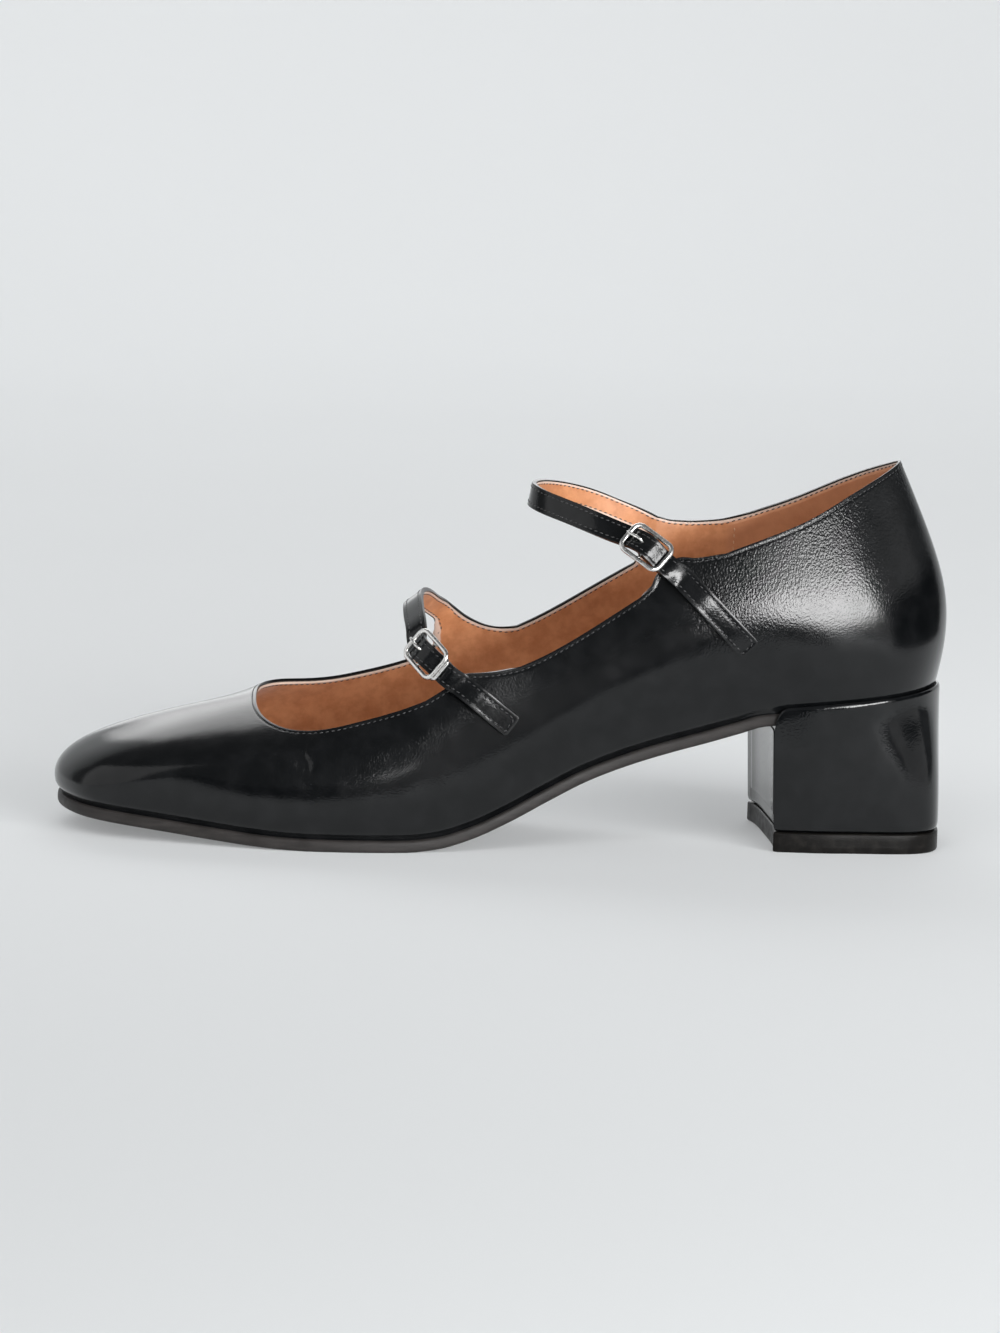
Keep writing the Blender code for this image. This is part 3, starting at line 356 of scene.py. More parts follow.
class ShoeForm:
    """Lasted form that every piece of the shoe follows, in millimetres."""

    samples = 61
    stand_samples = 13
    root_samples = 7
    even_rows = 44
    foot_rows = (0.0, 0.6, 1.1, 1.6, 2.1, 2.7, 3.4, 4.3)
    edge_rows = (3.2, 2.5, 2.0, 1.65, 1.4, 1.2, 1.0, 0.8, 0.6, 0.4, 0.2, 0.0)
    pinch = 0.75
    pinch_reach = (0.4, 2.3)
    creased = (-59.5, -47.5)
    crease_stations = 34

    def __init__(self) -> None:
        """Fit the smooth curves to the tables."""
        table = np.asarray(UPPER_TABLE, float)
        self.upper = Spline(table[:, 0], table[:, 1:], period=2 * BACK_STATION)
        heights = np.asarray(SOLE_BOTTOM, float)
        self.bottom = EvenCurve(heights[:, 0], heights[:, 1:], SEAT_SLOPE)
        self.stands = {
            "front_root": Stand(Side.MEDIAL, FRONT_ROOT, (3, 4)),
            "rear_root": Stand(Side.MEDIAL, REAR_ROOT, (2, 3)),
            "front_tab": Stand(Side.LATERAL, FRONT_TAB),
            "rear_tab": Stand(Side.LATERAL, REAR_TAB),
        }
        for stand in self.stands.values():
            stand.settle(lambda side, x: self.station_at(side, x, TOP_X))

    def station_at(self, side: Side, x: Array | float, column: int) -> Array:
        """Stations of one side where a column of the table reaches these x."""
        dense = np.linspace(0.0, BACK_STATION, 2001)
        return side.value * np.interp(x, self.upper(side.value * dense)[:, column], dense)

    def sole_bottom(self, x: Array | float) -> Array:
        """Height of the sole's underside."""
        return self.bottom(x)[..., 0]

    def sole_top(self, x: Array | float) -> Array:
        """Height of the sole's upper face, its thickness measured square to the slope."""
        x = np.asarray(x, float)
        slope = self.sole_bottom(x + 0.5) - self.sole_bottom(x - 0.5)
        return self.sole_bottom(x) + SOLE_THICKNESS * np.hypot(1.0, slope)

    def outline(self, stations: Array | float, offset: Array | float = 0.0) -> Array:
        """Featherline in plan, moved outwards by an offset."""
        here = self.upper(stations)[..., :2]
        ahead = self.upper(np.asarray(stations) + 0.02) - self.upper(np.asarray(stations) - 0.02)
        ahead = unit(ahead[..., :2])
        out = np.stack([-ahead[..., 1], ahead[..., 0]], axis=-1)
        return here + np.asarray(offset, float)[..., None] * out

    def stand(self, station: float) -> Array:
        """How far the edge stands above the even topline at a station."""
        for stand in self.stands.values():
            if stand.stations[0] < station < stand.stations[-1]:
                return stand.at(station)
        return np.zeros(3)

    def column(self, station: float, tuck: float = 0.0) -> Array:
        """Points up the outside of the upper at one station.

        Args:
            station: place round the foot.
            tuck: how far under the featherline the wall's foot goes on.

        Returns:
            One row of x y z a point, from the featherline upwards, closer near the edge.
        """
        row = self.upper(station)
        outward = self.outline(station, 1.0) - row[:2]
        foot = np.array([*row[:2], self.sole_top(row[0]) + GAP - tuck])
        top = row[4:7]
        low = foot + [outward[0] * row[2], outward[1] * row[2], row[3]]
        high = top + row[7:10]
        t = np.linspace(0, 1, self.samples)[:, None]
        wall = (foot * (1 - t)**3 + 3 * low * t * (1 - t)**2
                + 3 * high * t**2 * (1 - t) + top * t**3)
        stand = self.stand(station)
        height = np.linalg.norm(stand)
        if tuck:
            rise = wall[:, 2] - foot[2] - tuck
            drawn = self.pinch * (1 - ease(rise, *self.pinch_reach))
            wall[:, :2] -= outward * drawn[:, None]
        if height > 1e-3:
            lead = unit(top - high) * height / 2
            t = np.linspace(0, 1, self.stand_samples)[1:, None]
            wall = np.vstack([wall, top + 2 * t * (1 - t) * lead + t**2 * stand])
        reach = lengths(wall)
        even = np.linspace(self.foot_rows[-1], reach[-1] - self.edge_rows[0], self.even_rows,
                           endpoint=False)
        wanted = np.concatenate([self.foot_rows[:-1], even, reach[-1] - np.array(self.edge_rows)])
        return resample(wanted, reach, wall)

    def stations_round(self, count: int, across: Row) -> Array:
        """Stations all round the foot, close together at the roots and tabs.

        Args:
            count: how many even ones.
            across: fractions of a root's end that its own stations stand at.
        """
        even = np.linspace(-BACK_STATION, BACK_STATION, count, endpoint=False)
        extra: list[float] = []
        for stand in self.stands.values():
            for start, end, _ in stand.parts:
                ends = stand.corners and (stand.stations[stand.corners[0]],
                                          stand.stations[stand.corners[1]])
                if ends and math.isclose(start, min(ends)):
                    extra += list(start + (end - start) * np.asarray(across))
                    continue
                inner = stand.stations[(stand.stations >= start) & (stand.stations <= end)]
                for a, b in zip(inner[:-1], inner[1:]):
                    extra += list(np.linspace(a, b, self.root_samples))
        creased = self.station_at(Side.LATERAL, np.array(self.creased), TOP_X)
        extra += list(np.linspace(*creased, self.crease_stations))
        extra = sorted(set(np.round(extra, 6)))
        spacing = 0.4 * 2 * BACK_STATION / count
        low = np.array([s for s in even if np.abs(np.array(extra) - s).min() > spacing])
        return np.sort(np.concatenate([low, extra]))


FORM = ShoeForm()


@dataclass(frozen=True)
class Seat:
    """Where a buckle sits: its centre, and its axes along and across the strap and outwards."""

    centre: Row
    along: Row
    face: Row

    def axes(self) -> Array:
        """Rows of the directions along the strap, across it and out of the buckle."""
        out = unit(self.face)
        along = unit(np.asarray(self.along) - out * (np.asarray(self.along) @ out))
        return np.array([along, np.cross(out, along), out])

    def place(self, local: Array | Row) -> Array:
        """Points given along, across and over the buckle's plane, in the shoe's frame."""
        return np.asarray(self.centre) + np.asarray(local, float) @ self.axes()

    def row(self, along: float, height: float) -> list[float]:
        """Row of a strap's path at a place along the buckle and a height over its plane."""
        return [*self.place((along, 0.0, height)), *self.axes()[1]]


FRONT_SEAT = Seat((-22.1, -31.0, 54.6), (0.525, -0.68, -0.513), (-0.59, -0.725, 0.356))
REAR_SEAT = Seat((37.9, -29.8, 85.4), (0.783, -0.324, -0.531), (0.0, -0.855, 0.519))

# Each tail on the lateral wall: x z of its start, where its chape ends, and its tip
FRONT_TAIL = ((-12.5, 46.2), (-7.5, 42.4), (2.0, 35.3))
REAR_TAIL = ((48.5, 76.4), (53.5, 71.5), (67.4, 57.7))


class LateralWall:
    """Outside of the upper's lateral wall, for what lies on it."""

    outside = 80.0
    reach = 1.5

    def __init__(self, points: Array, faces: Faces) -> None:
        """Keep a search tree of the wall's corners and faces."""
        self.tree = search_tree(points, faces)

    def depth(self, x: float, z: float) -> float:
        """Y of the wall at an x and z."""
        start = Vector((x, -self.outside, z))
        return self.tree.ray_cast(start, Vector((0.0, 1.0, 0.0)))[0].y

    def at(self, x: float, z: float) -> tuple[Array, Array]:
        """Point of the wall at an x and z, and its outward direction there."""
        reach = self.reach
        across = (self.depth(x + reach, z) - self.depth(x - reach, z)) / (2 * reach)
        up = (self.depth(x, z + reach) - self.depth(x, z - reach)) / (2 * reach)
        return np.array([x, self.depth(x, z), z]), unit([across, -1.0, up])


@dataclass
class StrapForm:
    """Course of one strap from its medial root, through its buckle, to its tail.

    Places are lengths along the strap from its root's end. Distances across it run from
    its front edge (negative) to its rear edge (positive).
    """

    name: str
    root: Stand
    arc: Sequence[Row]
    seat: Seat
    tail: Sequence[Row]
    wall: LateralWall
    buckle_length: float = 14.0
    bar_drop: float = 0.6
    bar_radius: float = 0.5
    wire_gap: float = 0.45
    wall_gap: float = 0.25
    chape_gap: float = 0.4
    chape_thickness: float = 0.8
    chape_fade: Pair = (1.05, 1.5)
    tail_rows: int = 7
    lead_in: float = 2.5
    tip_round: float = 1.0
    path: Spline = field(init=False)
    start: float = field(init=False)
    length: float = field(init=False)
    marks: Array = field(init=False)

    def __post_init__(self) -> None:
        """Lay the path's rows and measure them."""
        rows = [*self.root_rows(), *[list(row) for row in self.arc], *self.buckle_rows()]
        rows += self.wall_rows()
        knots = lengths(np.array(rows)[:, :3])
        self.path = Spline(knots, rows)
        self.start = float(knots[1])
        self.length = float(knots[-1] - knots[1])
        self.marks = knots - knots[1]

    def root_rows(self) -> list[list[float]]:
        """First two rows: one inside the root and one at the end of it."""
        first, last = self.root.corners
        ends = [FORM.column(self.root.stations[k]) for k in (first, last)]
        front, rear = ends[0][-1], ends[1][-1]
        across = unit(rear - front)
        arrive = unit(ends[0][-1] - ends[0][-3]) + unit(ends[1][-1] - ends[1][-3])
        arrive = unit(arrive - across * (arrive @ across))
        inwards = np.cross(arrive, across)
        inwards *= -math.copysign(1.0, inwards[1])
        middle = (front + rear) / 2 + inwards * STRAP_THICKNESS / 2
        return [[*(middle - arrive * self.lead_in), *across], [*middle, *across]]

    def buckle_rows(self) -> list[list[float]]:
        """Rows under the buckle's entry, over its bar, and under and past its exit."""
        wire = (self.buckle_length - BUCKLE_WIRE) / 2
        under_wire = -(BUCKLE_WIRE / 2 + self.wire_gap + STRAP_THICKNESS / 2)
        over_bar = -self.bar_drop + self.bar_radius + GAP + STRAP_THICKNESS / 2
        return [
            self.seat.row(-wire, under_wire),
            self.seat.row(0.0, over_bar),
            self.seat.row(wire, under_wire),
            self.seat.row(wire + BUCKLE_WIRE, under_wire - self.wire_gap / 2),
        ]

    def wall_rows(self) -> list[list[float]]:
        """Rows along the lateral wall, from over the chape down to the tail's tip."""
        corners = np.array(self.tail)
        run = corners[2] - corners[0]
        on_wall = self.wall_gap + STRAP_THICKNESS / 2
        on_chape = on_wall + self.chape_gap + self.chape_thickness
        rows = []
        for place in np.linspace(0, 2, self.tail_rows):
            x, z = (np.interp(place, (0, 1, 2), corners[:, k]) for k in (0, 1))
            point, face = self.wall.at(float(x), float(z))
            over = on_chape + (on_wall - on_chape) * float(ease(place, *self.chape_fade))
            across = np.cross(face, unit([run[0], 0.0, run[1]]))
            rows.append([*(point + face * over), *across])
        return rows

    def frame(self, places: Array | float) -> tuple[Array, Array, Array, Array]:
        """Centre line at some places, and its directions along, across and outwards."""
        places = np.asarray(places, float) + self.start
        end = self.path.knots[-1]
        ahead = self.path(np.minimum(places + 0.05, end)) - self.path(places - 0.05)
        ahead = unit(ahead[..., :3])
        here = self.path(places)
        across = here[..., 3:]
        across = square_to(across, ahead)
        return here[..., :3], ahead, across, np.cross(ahead, across)

    def half_width(self, place: float) -> float:
        """Half the strap's width at a place, drawn in round its tip's corners."""
        left = max(self.length - place, 0.0)
        half = STRAP_WIDTH / 2
        radius = self.tip_round
        if left >= radius:
            return half
        return half - radius + math.sqrt(max(radius**2 - (radius - left)**2, 0.0))

    def outer(self, places: Array, across: Array) -> Array:
        """Points of the strap's outer face at lengths along it and distances across it."""
        centre, _, side, out = self.frame(places)
        return centre + side * across[..., None] + out * (STRAP_THICKNESS / 2)


# --- Blender helpers


def link_object(name: str, data: bpy.types.ID) -> Piece:
    """New object of the scene that shows some data."""
    item = bpy.data.objects.new(name, data)
    bpy.context.scene.collection.objects.link(item)
    return item


def mesh_object(name: str, points: Array, faces: Faces, material: Finish) -> Piece:
    """Link a smooth-shaded mesh as an object of its own.

    Args:
        name: the piece's name.
        points: corners in millimetres, x y z.
        faces: corner numbers of each face, anticlockwise from outside.
        material: its finish.

    Returns:
        The new object, at the origin.
    """
    mesh = bpy.data.meshes.new(name)
    mesh.from_pydata(np.asarray(points, float) * MM, [], [list(f) for f in faces])
    mesh.validate()
    mesh.shade_smooth()
    mesh.materials.append(material)
    return link_object(name, mesh)


def add_bevel(piece: Piece, width: float, segments: int = 3) -> None:
    """Round a piece's sharp edges by a live modifier."""
    bevel = piece.modifiers.new("round", "BEVEL")
    bevel.width = width * MM
    bevel.segments = segments
    bevel.limit_method = "ANGLE"
    bevel.angle_limit = math.radians(SHARP_ANGLE)
    bevel.harden_normals = False


def add_wall(piece: Piece, thickness: float, shares: Array | None = None) -> None:
    """Give an open surface a wall on its inner side by a live modifier.

    Args:
        piece: the open surface.
        thickness: the wall's thickness.
        shares: share of that thickness at each corner point, or None for all of it.
    """
    wall = piece.modifiers.new("wall", "SOLIDIFY")
    wall.thickness = thickness * MM
    wall.offset = -1.0
    wall.use_rim = True
    wall.use_quality_normals = True
    if shares is None:
        return
    group = piece.vertex_groups.new(name="thickness")
    for number, share in enumerate(shares):
        group.add([number], float(share), "REPLACE")
    wall.vertex_group = group.name


def set_attribute(piece: Piece, name: str, values: Array) -> None:
    """Store one number a corner point on a piece's mesh."""
    layer = piece.data.attributes.new(name, "FLOAT", "POINT")
    layer.data.foreach_set("value", np.asarray(values, np.float32))


def set_even(piece: Piece, **values: float) -> None:
    """Store the same number at every corner point of a piece's mesh, under each name."""
    for name, value in values.items():
        set_attribute(piece, name, np.full(len(piece.data.vertices), value))


def vertex_normals(mesh: bpy.types.Mesh) -> Array:
    """Outward direction at each corner point of a mesh."""
    normals = np.zeros(len(mesh.vertices) * 3, np.float32)
    mesh.vertex_normals.foreach_get("vector", normals)
    return normals.reshape(-1, 3).astype(float)


def dress(piece: Piece, slot: str, *nodes: str) -> None:
    """Put a finished piece on the shoe's body, hide the CAD nodes it replaces and log its faces.

    Args:
        piece: the finished object.
        slot: the record's material slot that its finish belongs to; not used.
        nodes: CAD nodes that it takes the place of.
    """
    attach(piece, BODY)
    if nodes:
        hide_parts(*nodes)
    LOG.info("%s: %d faces", piece.name, len(piece.data.polygons))


def number_faces(numbers: Array) -> Faces:
    """Faces between point numbers that are kept row by row."""
    low, high = numbers[:-1], numbers[1:]
    corners = np.stack([low[:, :-1], low[:, 1:], high[:, 1:], high[:, :-1]], axis=-1)
    return [tuple(face) for face in corners.reshape(-1, 4).tolist()]


def grid_faces(rows: int, columns: int, closed: bool = False) -> Faces:
    """Faces of a grid of points kept row by row, each row joined to its start if closed."""
    numbers = np.arange(rows * columns).reshape(rows, columns)
    return number_faces(np.hstack([numbers, numbers[:, :1]]) if closed else numbers)


def sweep(name: str, line: Array, side: Array, out: Array, shape: Array,
          material: Finish, closed: bool) -> Piece:
    """Solid that a cross-section leaves along a line.

    Args:
        name: the piece's name.
        line: points of the line, x y z.
        side: direction of the section's first axis at each point.
        out: direction of its second axis at each point.
        shape: the section's points, anticlockwise, for one place or for each.
        material: its finish.
        closed: whether the line's end joins its start.

    Returns:
        The new object, with capped ends where the line is open.
    """
    count = len(line)
    shape = np.broadcast_to(shape, (count, *np.shape(shape)[-2:]))
    rings = (line[:, None] + side[:, None] * shape[..., :1] + out[:, None] * shape[..., 1:])
    size = shape.shape[1]
    faces = grid_faces(count, size, closed=True)
    if closed:
        last = (count - 1) * size
        faces += [(last + i, last + (i + 1) % size, (i + 1) % size, i) for i in range(size)]
    else:
        faces += [tuple(reversed(range(size))), tuple((count - 1) * size + i for i in range(size))]
    piece = mesh_object(name, rings.reshape(-1, 3), faces, material)
    outwards(piece)
    return piece


def outwards(piece: Piece, merged: bool = False) -> None:
    """Turn a closed mesh's faces outwards, its doubled points merged first where asked."""
    work = bmesh.new()
    work.from_mesh(piece.data)
    if merged:
        bmesh.ops.remove_doubles(work, verts=work.verts, dist=DOUBLED * MM)
        bmesh.ops.dissolve_degenerate(work, edges=work.edges, dist=SLIVER * MM)
    bmesh.ops.recalc_face_normals(work, faces=work.faces)
    work.to_mesh(piece.data)
    work.free()


def circle(radius: float, sides: int, squash: float = 1.0) -> Array:
    """Points round a circle or, squashed along its second axis, an ellipse."""
    turns = np.linspace(0, 2 * math.pi, sides, endpoint=False)
    return np.stack([radius * np.cos(turns), squash * radius * np.sin(turns)], axis=1)


def search_tree(points: Array, faces: Faces) -> BVHTree:
    """Tree that finds the places of a surface."""
    return BVHTree.FromPolygons([Vector(p) for p in points], faces)


def plain_copy(piece: Piece, name: str) -> Piece:
    """Mesh object of what a piece's modifiers give, and the piece itself removed."""
    graph = bpy.context.evaluated_depsgraph_get()
    mesh = bpy.data.meshes.new_from_object(piece.evaluated_get(graph))
    mesh.name = name
    result = link_object(name, mesh)
    bpy.data.objects.remove(piece)
    return result


# --- skins of the upper


class EdgeLine:
    """Closed line along the free edge of a skin, with the way inwards at each point."""

    fine_step = 0.12

    def __init__(self, points: Array, normals: Array, inner: Array) -> None:
        """Keep the line, closely spaced, in a search tree.

        Args:
            points: the edge's points in order, x y z.
            normals: outward direction of the skin at each.
            inner: a point of the skin a little inside the edge at its first point.
        """
        ahead = unit(np.roll(points, -1, axis=0) - np.roll(points, 1, axis=0))
        self.points = points
        self.inward = unit(np.cross(normals, ahead))
        if (inner - points[0]) @ self.inward[0] < 0:
            self.inward = -self.inward
        fine, ways = [], []
        for a, b, way_a, way_b in zip(points, np.roll(points, -1, axis=0), self.inward,
                                      np.roll(self.inward, -1, axis=0)):
            count = max(int(np.linalg.norm(b - a) / self.fine_step), 1)
            t = np.linspace(0, 1, count, endpoint=False)[:, None]
            fine.append(a + (b - a) * t)
            ways.append(way_a + (way_b - way_a) * t)
        fine, self.ways = np.vstack(fine), unit(np.vstack(ways))
        self.tree = KDTree(len(fine))
        for i, point in enumerate(fine):
            self.tree.insert(Vector(point), i)
        self.tree.balance()

    def nearest(self, points: Array) -> tuple[Array, Array]:
        """Distance of each point from the edge, and the number of its nearest fine point."""
        found = [self.tree.find(Vector(point)) for point in points]
        return np.array([f[2] for f in found]), np.array([f[1] for f in found])


@dataclass
class Skin:
    """Surface of the upper with both straps grown from its roots."""

    straps: Sequence[StrapForm]
    tuck: float = 1.2
    count: int = 432
    strap_step: float = 0.8
    across: Row = (0, 0.06, 0.14, 0.22, 0.3, 0.4, 0.5, 0.6, 0.7, 0.78, 0.86, 0.94, 1)
    weld: float = 9.0
    tip_run: float = 1.2
    tip_steps: Row = (0.85, 0.55, 0.3, 0.12, 0.0)
    stitch_room: float = 0.96
    points: Array = field(init=False)
    faces: Faces = field(init=False)
    on_strap: Array = field(init=False)
    normals: Array = field(init=False)
    edge: EdgeLine = field(init=False)
    edge_distance: Array = field(init=False)
    nearest: Array = field(init=False)
    stations: Array = field(init=False)
    rows: int = field(init=False)

    def __post_init__(self) -> None:
        """Build the wall's grid, then each strap's, and measure the free edge."""
        self.stations = FORM.stations_round(self.count, self.across)
        columns = [FORM.column(s, self.tuck) for s in self.stations]
        self.rows = len(columns[0])
        ring = np.arange(len(columns) * self.rows).reshape(-1, self.rows)
        self.faces = number_faces(np.vstack([ring, ring[:1]]))
        blocks = [np.vstack(columns)]
        loops, shares = {}, []
        for strap in self.straps:
            points, first, loop = self.grow(strap, sum(map(len, blocks)), columns)
            blocks.append(points)
            places = np.repeat(np.arange(len(points) // len(self.across)), len(self.across))
            shares.append(ease(places * self.strap_step, 0.0, self.weld))
            loops[first] = loop
        self.points = np.vstack(blocks)
        self.on_strap = np.concatenate([np.zeros(len(blocks[0])), *shares])
        self.measure(loops)

    def corner_columns(self, strap: StrapForm) -> tuple[int, int]:
        """Numbers of the columns at both corners of a strap's root."""
        first, last = (strap.root.stations[k] for k in strap.root.corners)
        return int(np.abs(self.stations - first).argmin()), int(np.abs(self.stations - last).argmin())

    def grow(self, strap: StrapForm, start: int, columns: list[Array]) -> tuple[Array, int, list[int]]:
        """Grid of one strap's outer face, joined to the top of its root.

        Args:
            strap: the strap's course.
            start: number of the strap's first point.
            columns: the wall's columns.

        Returns:
            Its points, the number of its root's first column, and its edge's point numbers.
        """
        first, last = self.corner_columns(strap)
        width = last - first + 1
        root = [i * self.rows + self.rows - 1 for i in range(first, last + 1)]
        ends = np.array([columns[i][-1] for i in range(first, last + 1)])
        fractions = np.asarray(self.across)[:width]
        steps = int(strap.length / self.strap_step)
        places = np.concatenate([np.linspace(0, strap.length - self.tip_run, steps),
                                 strap.length - np.array(self.tip_steps)])
        rows = np.array([strap.outer(np.full(width, place),
                                     strap.half_width(place) * (2 * fractions - 1))
                         for place in places])
        rows += (ends - rows[0]) * (1 - ease(places, 0.0, self.weld))[:, None, None]
        numbers = [root] + [[start + r * width + c for c in range(width)]
                            for r in range(len(places) - 1)]
        self.faces += [(below[c], above[c], above[c + 1], below[c + 1])
                       for below, above in zip(numbers, numbers[1:]) for c in range(width - 1)]
        loop = [row[0] for row in numbers[1:]] + numbers[-1][1:-1]
        loop += [row[-1] for row in reversed(numbers[1:])]
        return rows[1:].reshape(-1, 3), first, loop

    def measure(self, loops: dict[int, list[int]]) -> None:
        """Follow the free edge round the skin and measure every point's distance from it."""
        edge = []
        column = 0
        while column < len(self.stations):
            edge.append(column * self.rows + self.rows - 1)
            if column in loops:
                edge += loops[column]
                column += len(self.across) - 1
                continue
            column += 1
        self.normals = surface_normals(self.points, self.faces)
        numbers = np.array(edge)
        inner = self.points[edge[0] - 2]
        self.edge = EdgeLine(self.points[numbers], self.normals[numbers], inner)
        self.edge_distance, self.nearest = self.edge.nearest(self.points)

    def calmed(self, rounds: int = 12) -> Array:
        """Outward directions averaged with their neighbours', so that an offset does not fold."""
        corners = np.array(self.faces)
        normals = self.normals
        for _ in range(rounds):
            total = normals.copy()
            for near, beyond in zip(corners.T, np.roll(corners, -1, axis=1).T):
                np.add.at(total, near, normals[beyond])
                np.add.at(total, beyond, normals[near])
            normals = unit(total)
        return normals

    def depth(self) -> Array:
        """Thickness of the leather at each point: more on the folded straps."""
        return LEATHER + (STRAP_LEATHER - LEATHER) * self.on_strap

    def drawn_in(self, amount: float, reach: float = 3.0) -> Array:
        """Points of the skin, moved inwards by an amount at the free edge and less within."""
        share = np.clip(1 - self.edge_distance / reach, 0.0, 1.0)[:, None]
        return self.points + self.edge.ways[self.nearest] * amount * share

    def stitch_line(self, below: float, tree: BVHTree) -> tuple[Array, Array]:
        """Line a set distance inside the free edge, on the surface of a tree.

        Args:
            below: distance from the edge.
            tree: surface that the line lies on.

        Returns:
            Points of the line and the surface's outward direction at each.
        """
        wanted = self.edge.points + self.edge.inward * below
        far, _ = self.edge.nearest(wanted)
        points, ways = [], []
        for point, distance in zip(wanted, far):
            if distance < below * self.stitch_room:
                continue
            place, normal, _, _ = tree.find_nearest(Vector(point))
            points.append(place)
            ways.append(normal)
        return np.array(points), np.array(ways)


def surface_normals(points: Array, faces: Faces) -> Array:
    """Outward direction at each point of a surface."""
    mesh = bpy.data.meshes.new("scratch")
    mesh.from_pydata(np.asarray(points, float) * MM, [], [list(f) for f in faces])
    normals = vertex_normals(mesh)
    bpy.data.meshes.remove(mesh)
    return normals


# --- finishes


def add_node(tree: bpy.types.NodeTree, kind: str, inputs: Inputs, **settings: object) -> bpy.types.Node:
    """New node with its settings made and its sockets filled.

    Args:
        tree: the tree that it joins.
        kind: its type.
        inputs: a constant or a socket for each of its own, by name or number.
        settings: its own settings.

    Returns:
        The node.
    """
    node = tree.nodes.new(kind)
    for name, setting in settings.items():
        setattr(node, name, setting)
    fill(node, inputs)
    return node


def fill(node: bpy.types.Node, inputs: Inputs) -> None:
    """Set a node's sockets to constants, or link them to other sockets."""
    for key, value in inputs.items():
        if isinstance(value, Socket):
            node.id_data.links.new(value, node.inputs[key])
        else:
            node.inputs[key].default_value = value


class Shades:
    """Short way to write a material's node tree."""

    def __init__(self, name: str) -> None:
        """Start a material with an empty tree and its Principled shader."""
        self.material = bpy.data.materials.new(name)
        self.material.use_nodes = True
        self.material.node_tree.nodes.clear()
        self.shader = self.node("BsdfPrincipled", {})
        self.node("OutputMaterial", {"Surface": self.shader.outputs["BSDF"]})
        self.place = self.node("TexCoord", {}).outputs["Object"]

    def node(self, kind: str, inputs: Inputs, **settings: object) -> bpy.types.Node:
        """New shader node of a kind, its settings made and its sockets filled."""
        return add_node(self.material.node_tree, "ShaderNode" + kind, inputs, **settings)

    def set(self, **values: object) -> None:
        """Set the shader's sockets, named with underscores for spaces."""
        fill(self.shader, {name.replace("_", " "): value for name, value in values.items()})

    def moved(self, scale: Row) -> Socket:
        """Object coordinates scaled along each axis."""
        return self.node("Mapping", {"Vector": self.place, "Scale": scale}).outputs["Vector"]

    def axis(self, name: str) -> Socket:
        """One of the object coordinates."""
        return self.node("SeparateXYZ", {0: self.place}).outputs[name]

    def noise(self, size: float, detail: float = 2.0, roughness: float = 0.5,
              vector: Socket | None = None) -> Socket:
        """Noise of about 0 to 1 whose coarsest features have a size in millimetres."""
        inputs = {"Vector": vector or self.place, "Scale": 1 / (size * MM), "Detail": detail,
                  "Roughness": roughness}
        return self.node("TexNoise", inputs).outputs["Fac"]

    def cells(self, size: float) -> Socket:
        """Distance from the middles of cells of a size in millimetres."""
        inputs = {"Vector": self.place, "Scale": 1 / (size * MM)}
        return self.node("TexVoronoi", inputs).outputs["Distance"]

    def attribute(self, name: str) -> Socket:
        """Number stored on the mesh under a name."""
        return self.node("Attribute", {}, attribute_name=name).outputs["Fac"]

    def ramp(self, value: Socket, low: float, high: float, start: object = 0.0,
             end: object = 1.0) -> Socket:
        """Value carried smoothly from the range low to high to the range start to end."""
        inputs = {"Value": value, "From Min": low, "From Max": high, "To Min": start, "To Max": end}
        return self.node("MapRange", inputs, interpolation_type="SMOOTHSTEP").outputs["Result"]

    def math(self, operation: str, first: object, second: object) -> Socket:
        """Sum, product or other operation on two values."""
        return self.node("Math", {0: first, 1: second}, operation=operation).outputs[0]

    def mix(self, share: object, first: object, second: object) -> Socket:
        """Colour between two colours, given the share of the second."""
        return self.node("Mix", {0: share, 6: first, 7: second}, data_type="RGBA").outputs[2]

    def bump(self, height: Socket, depth: float, under: Socket | None = None) -> Socket:
        """Relief of a depth in millimetres, over another relief where one is given."""
        inputs = {"Distance": depth * MM, "Height": height}
        if under is not None:
            inputs["Normal"] = under
        return self.node("Bump", inputs).outputs["Normal"]


def srgb(red: float, green: float, blue: float) -> tuple[float, float, float, float]:
    """Linear colour of a display colour given in 0 to 255."""
    parts = [c / 255 for c in (red, green, blue)]
    linear = [c / 12.92 if c <= 0.04045 else ((c + 0.055) / 1.055) ** 2.4 for c in parts]
    return (*linear, 1.0)


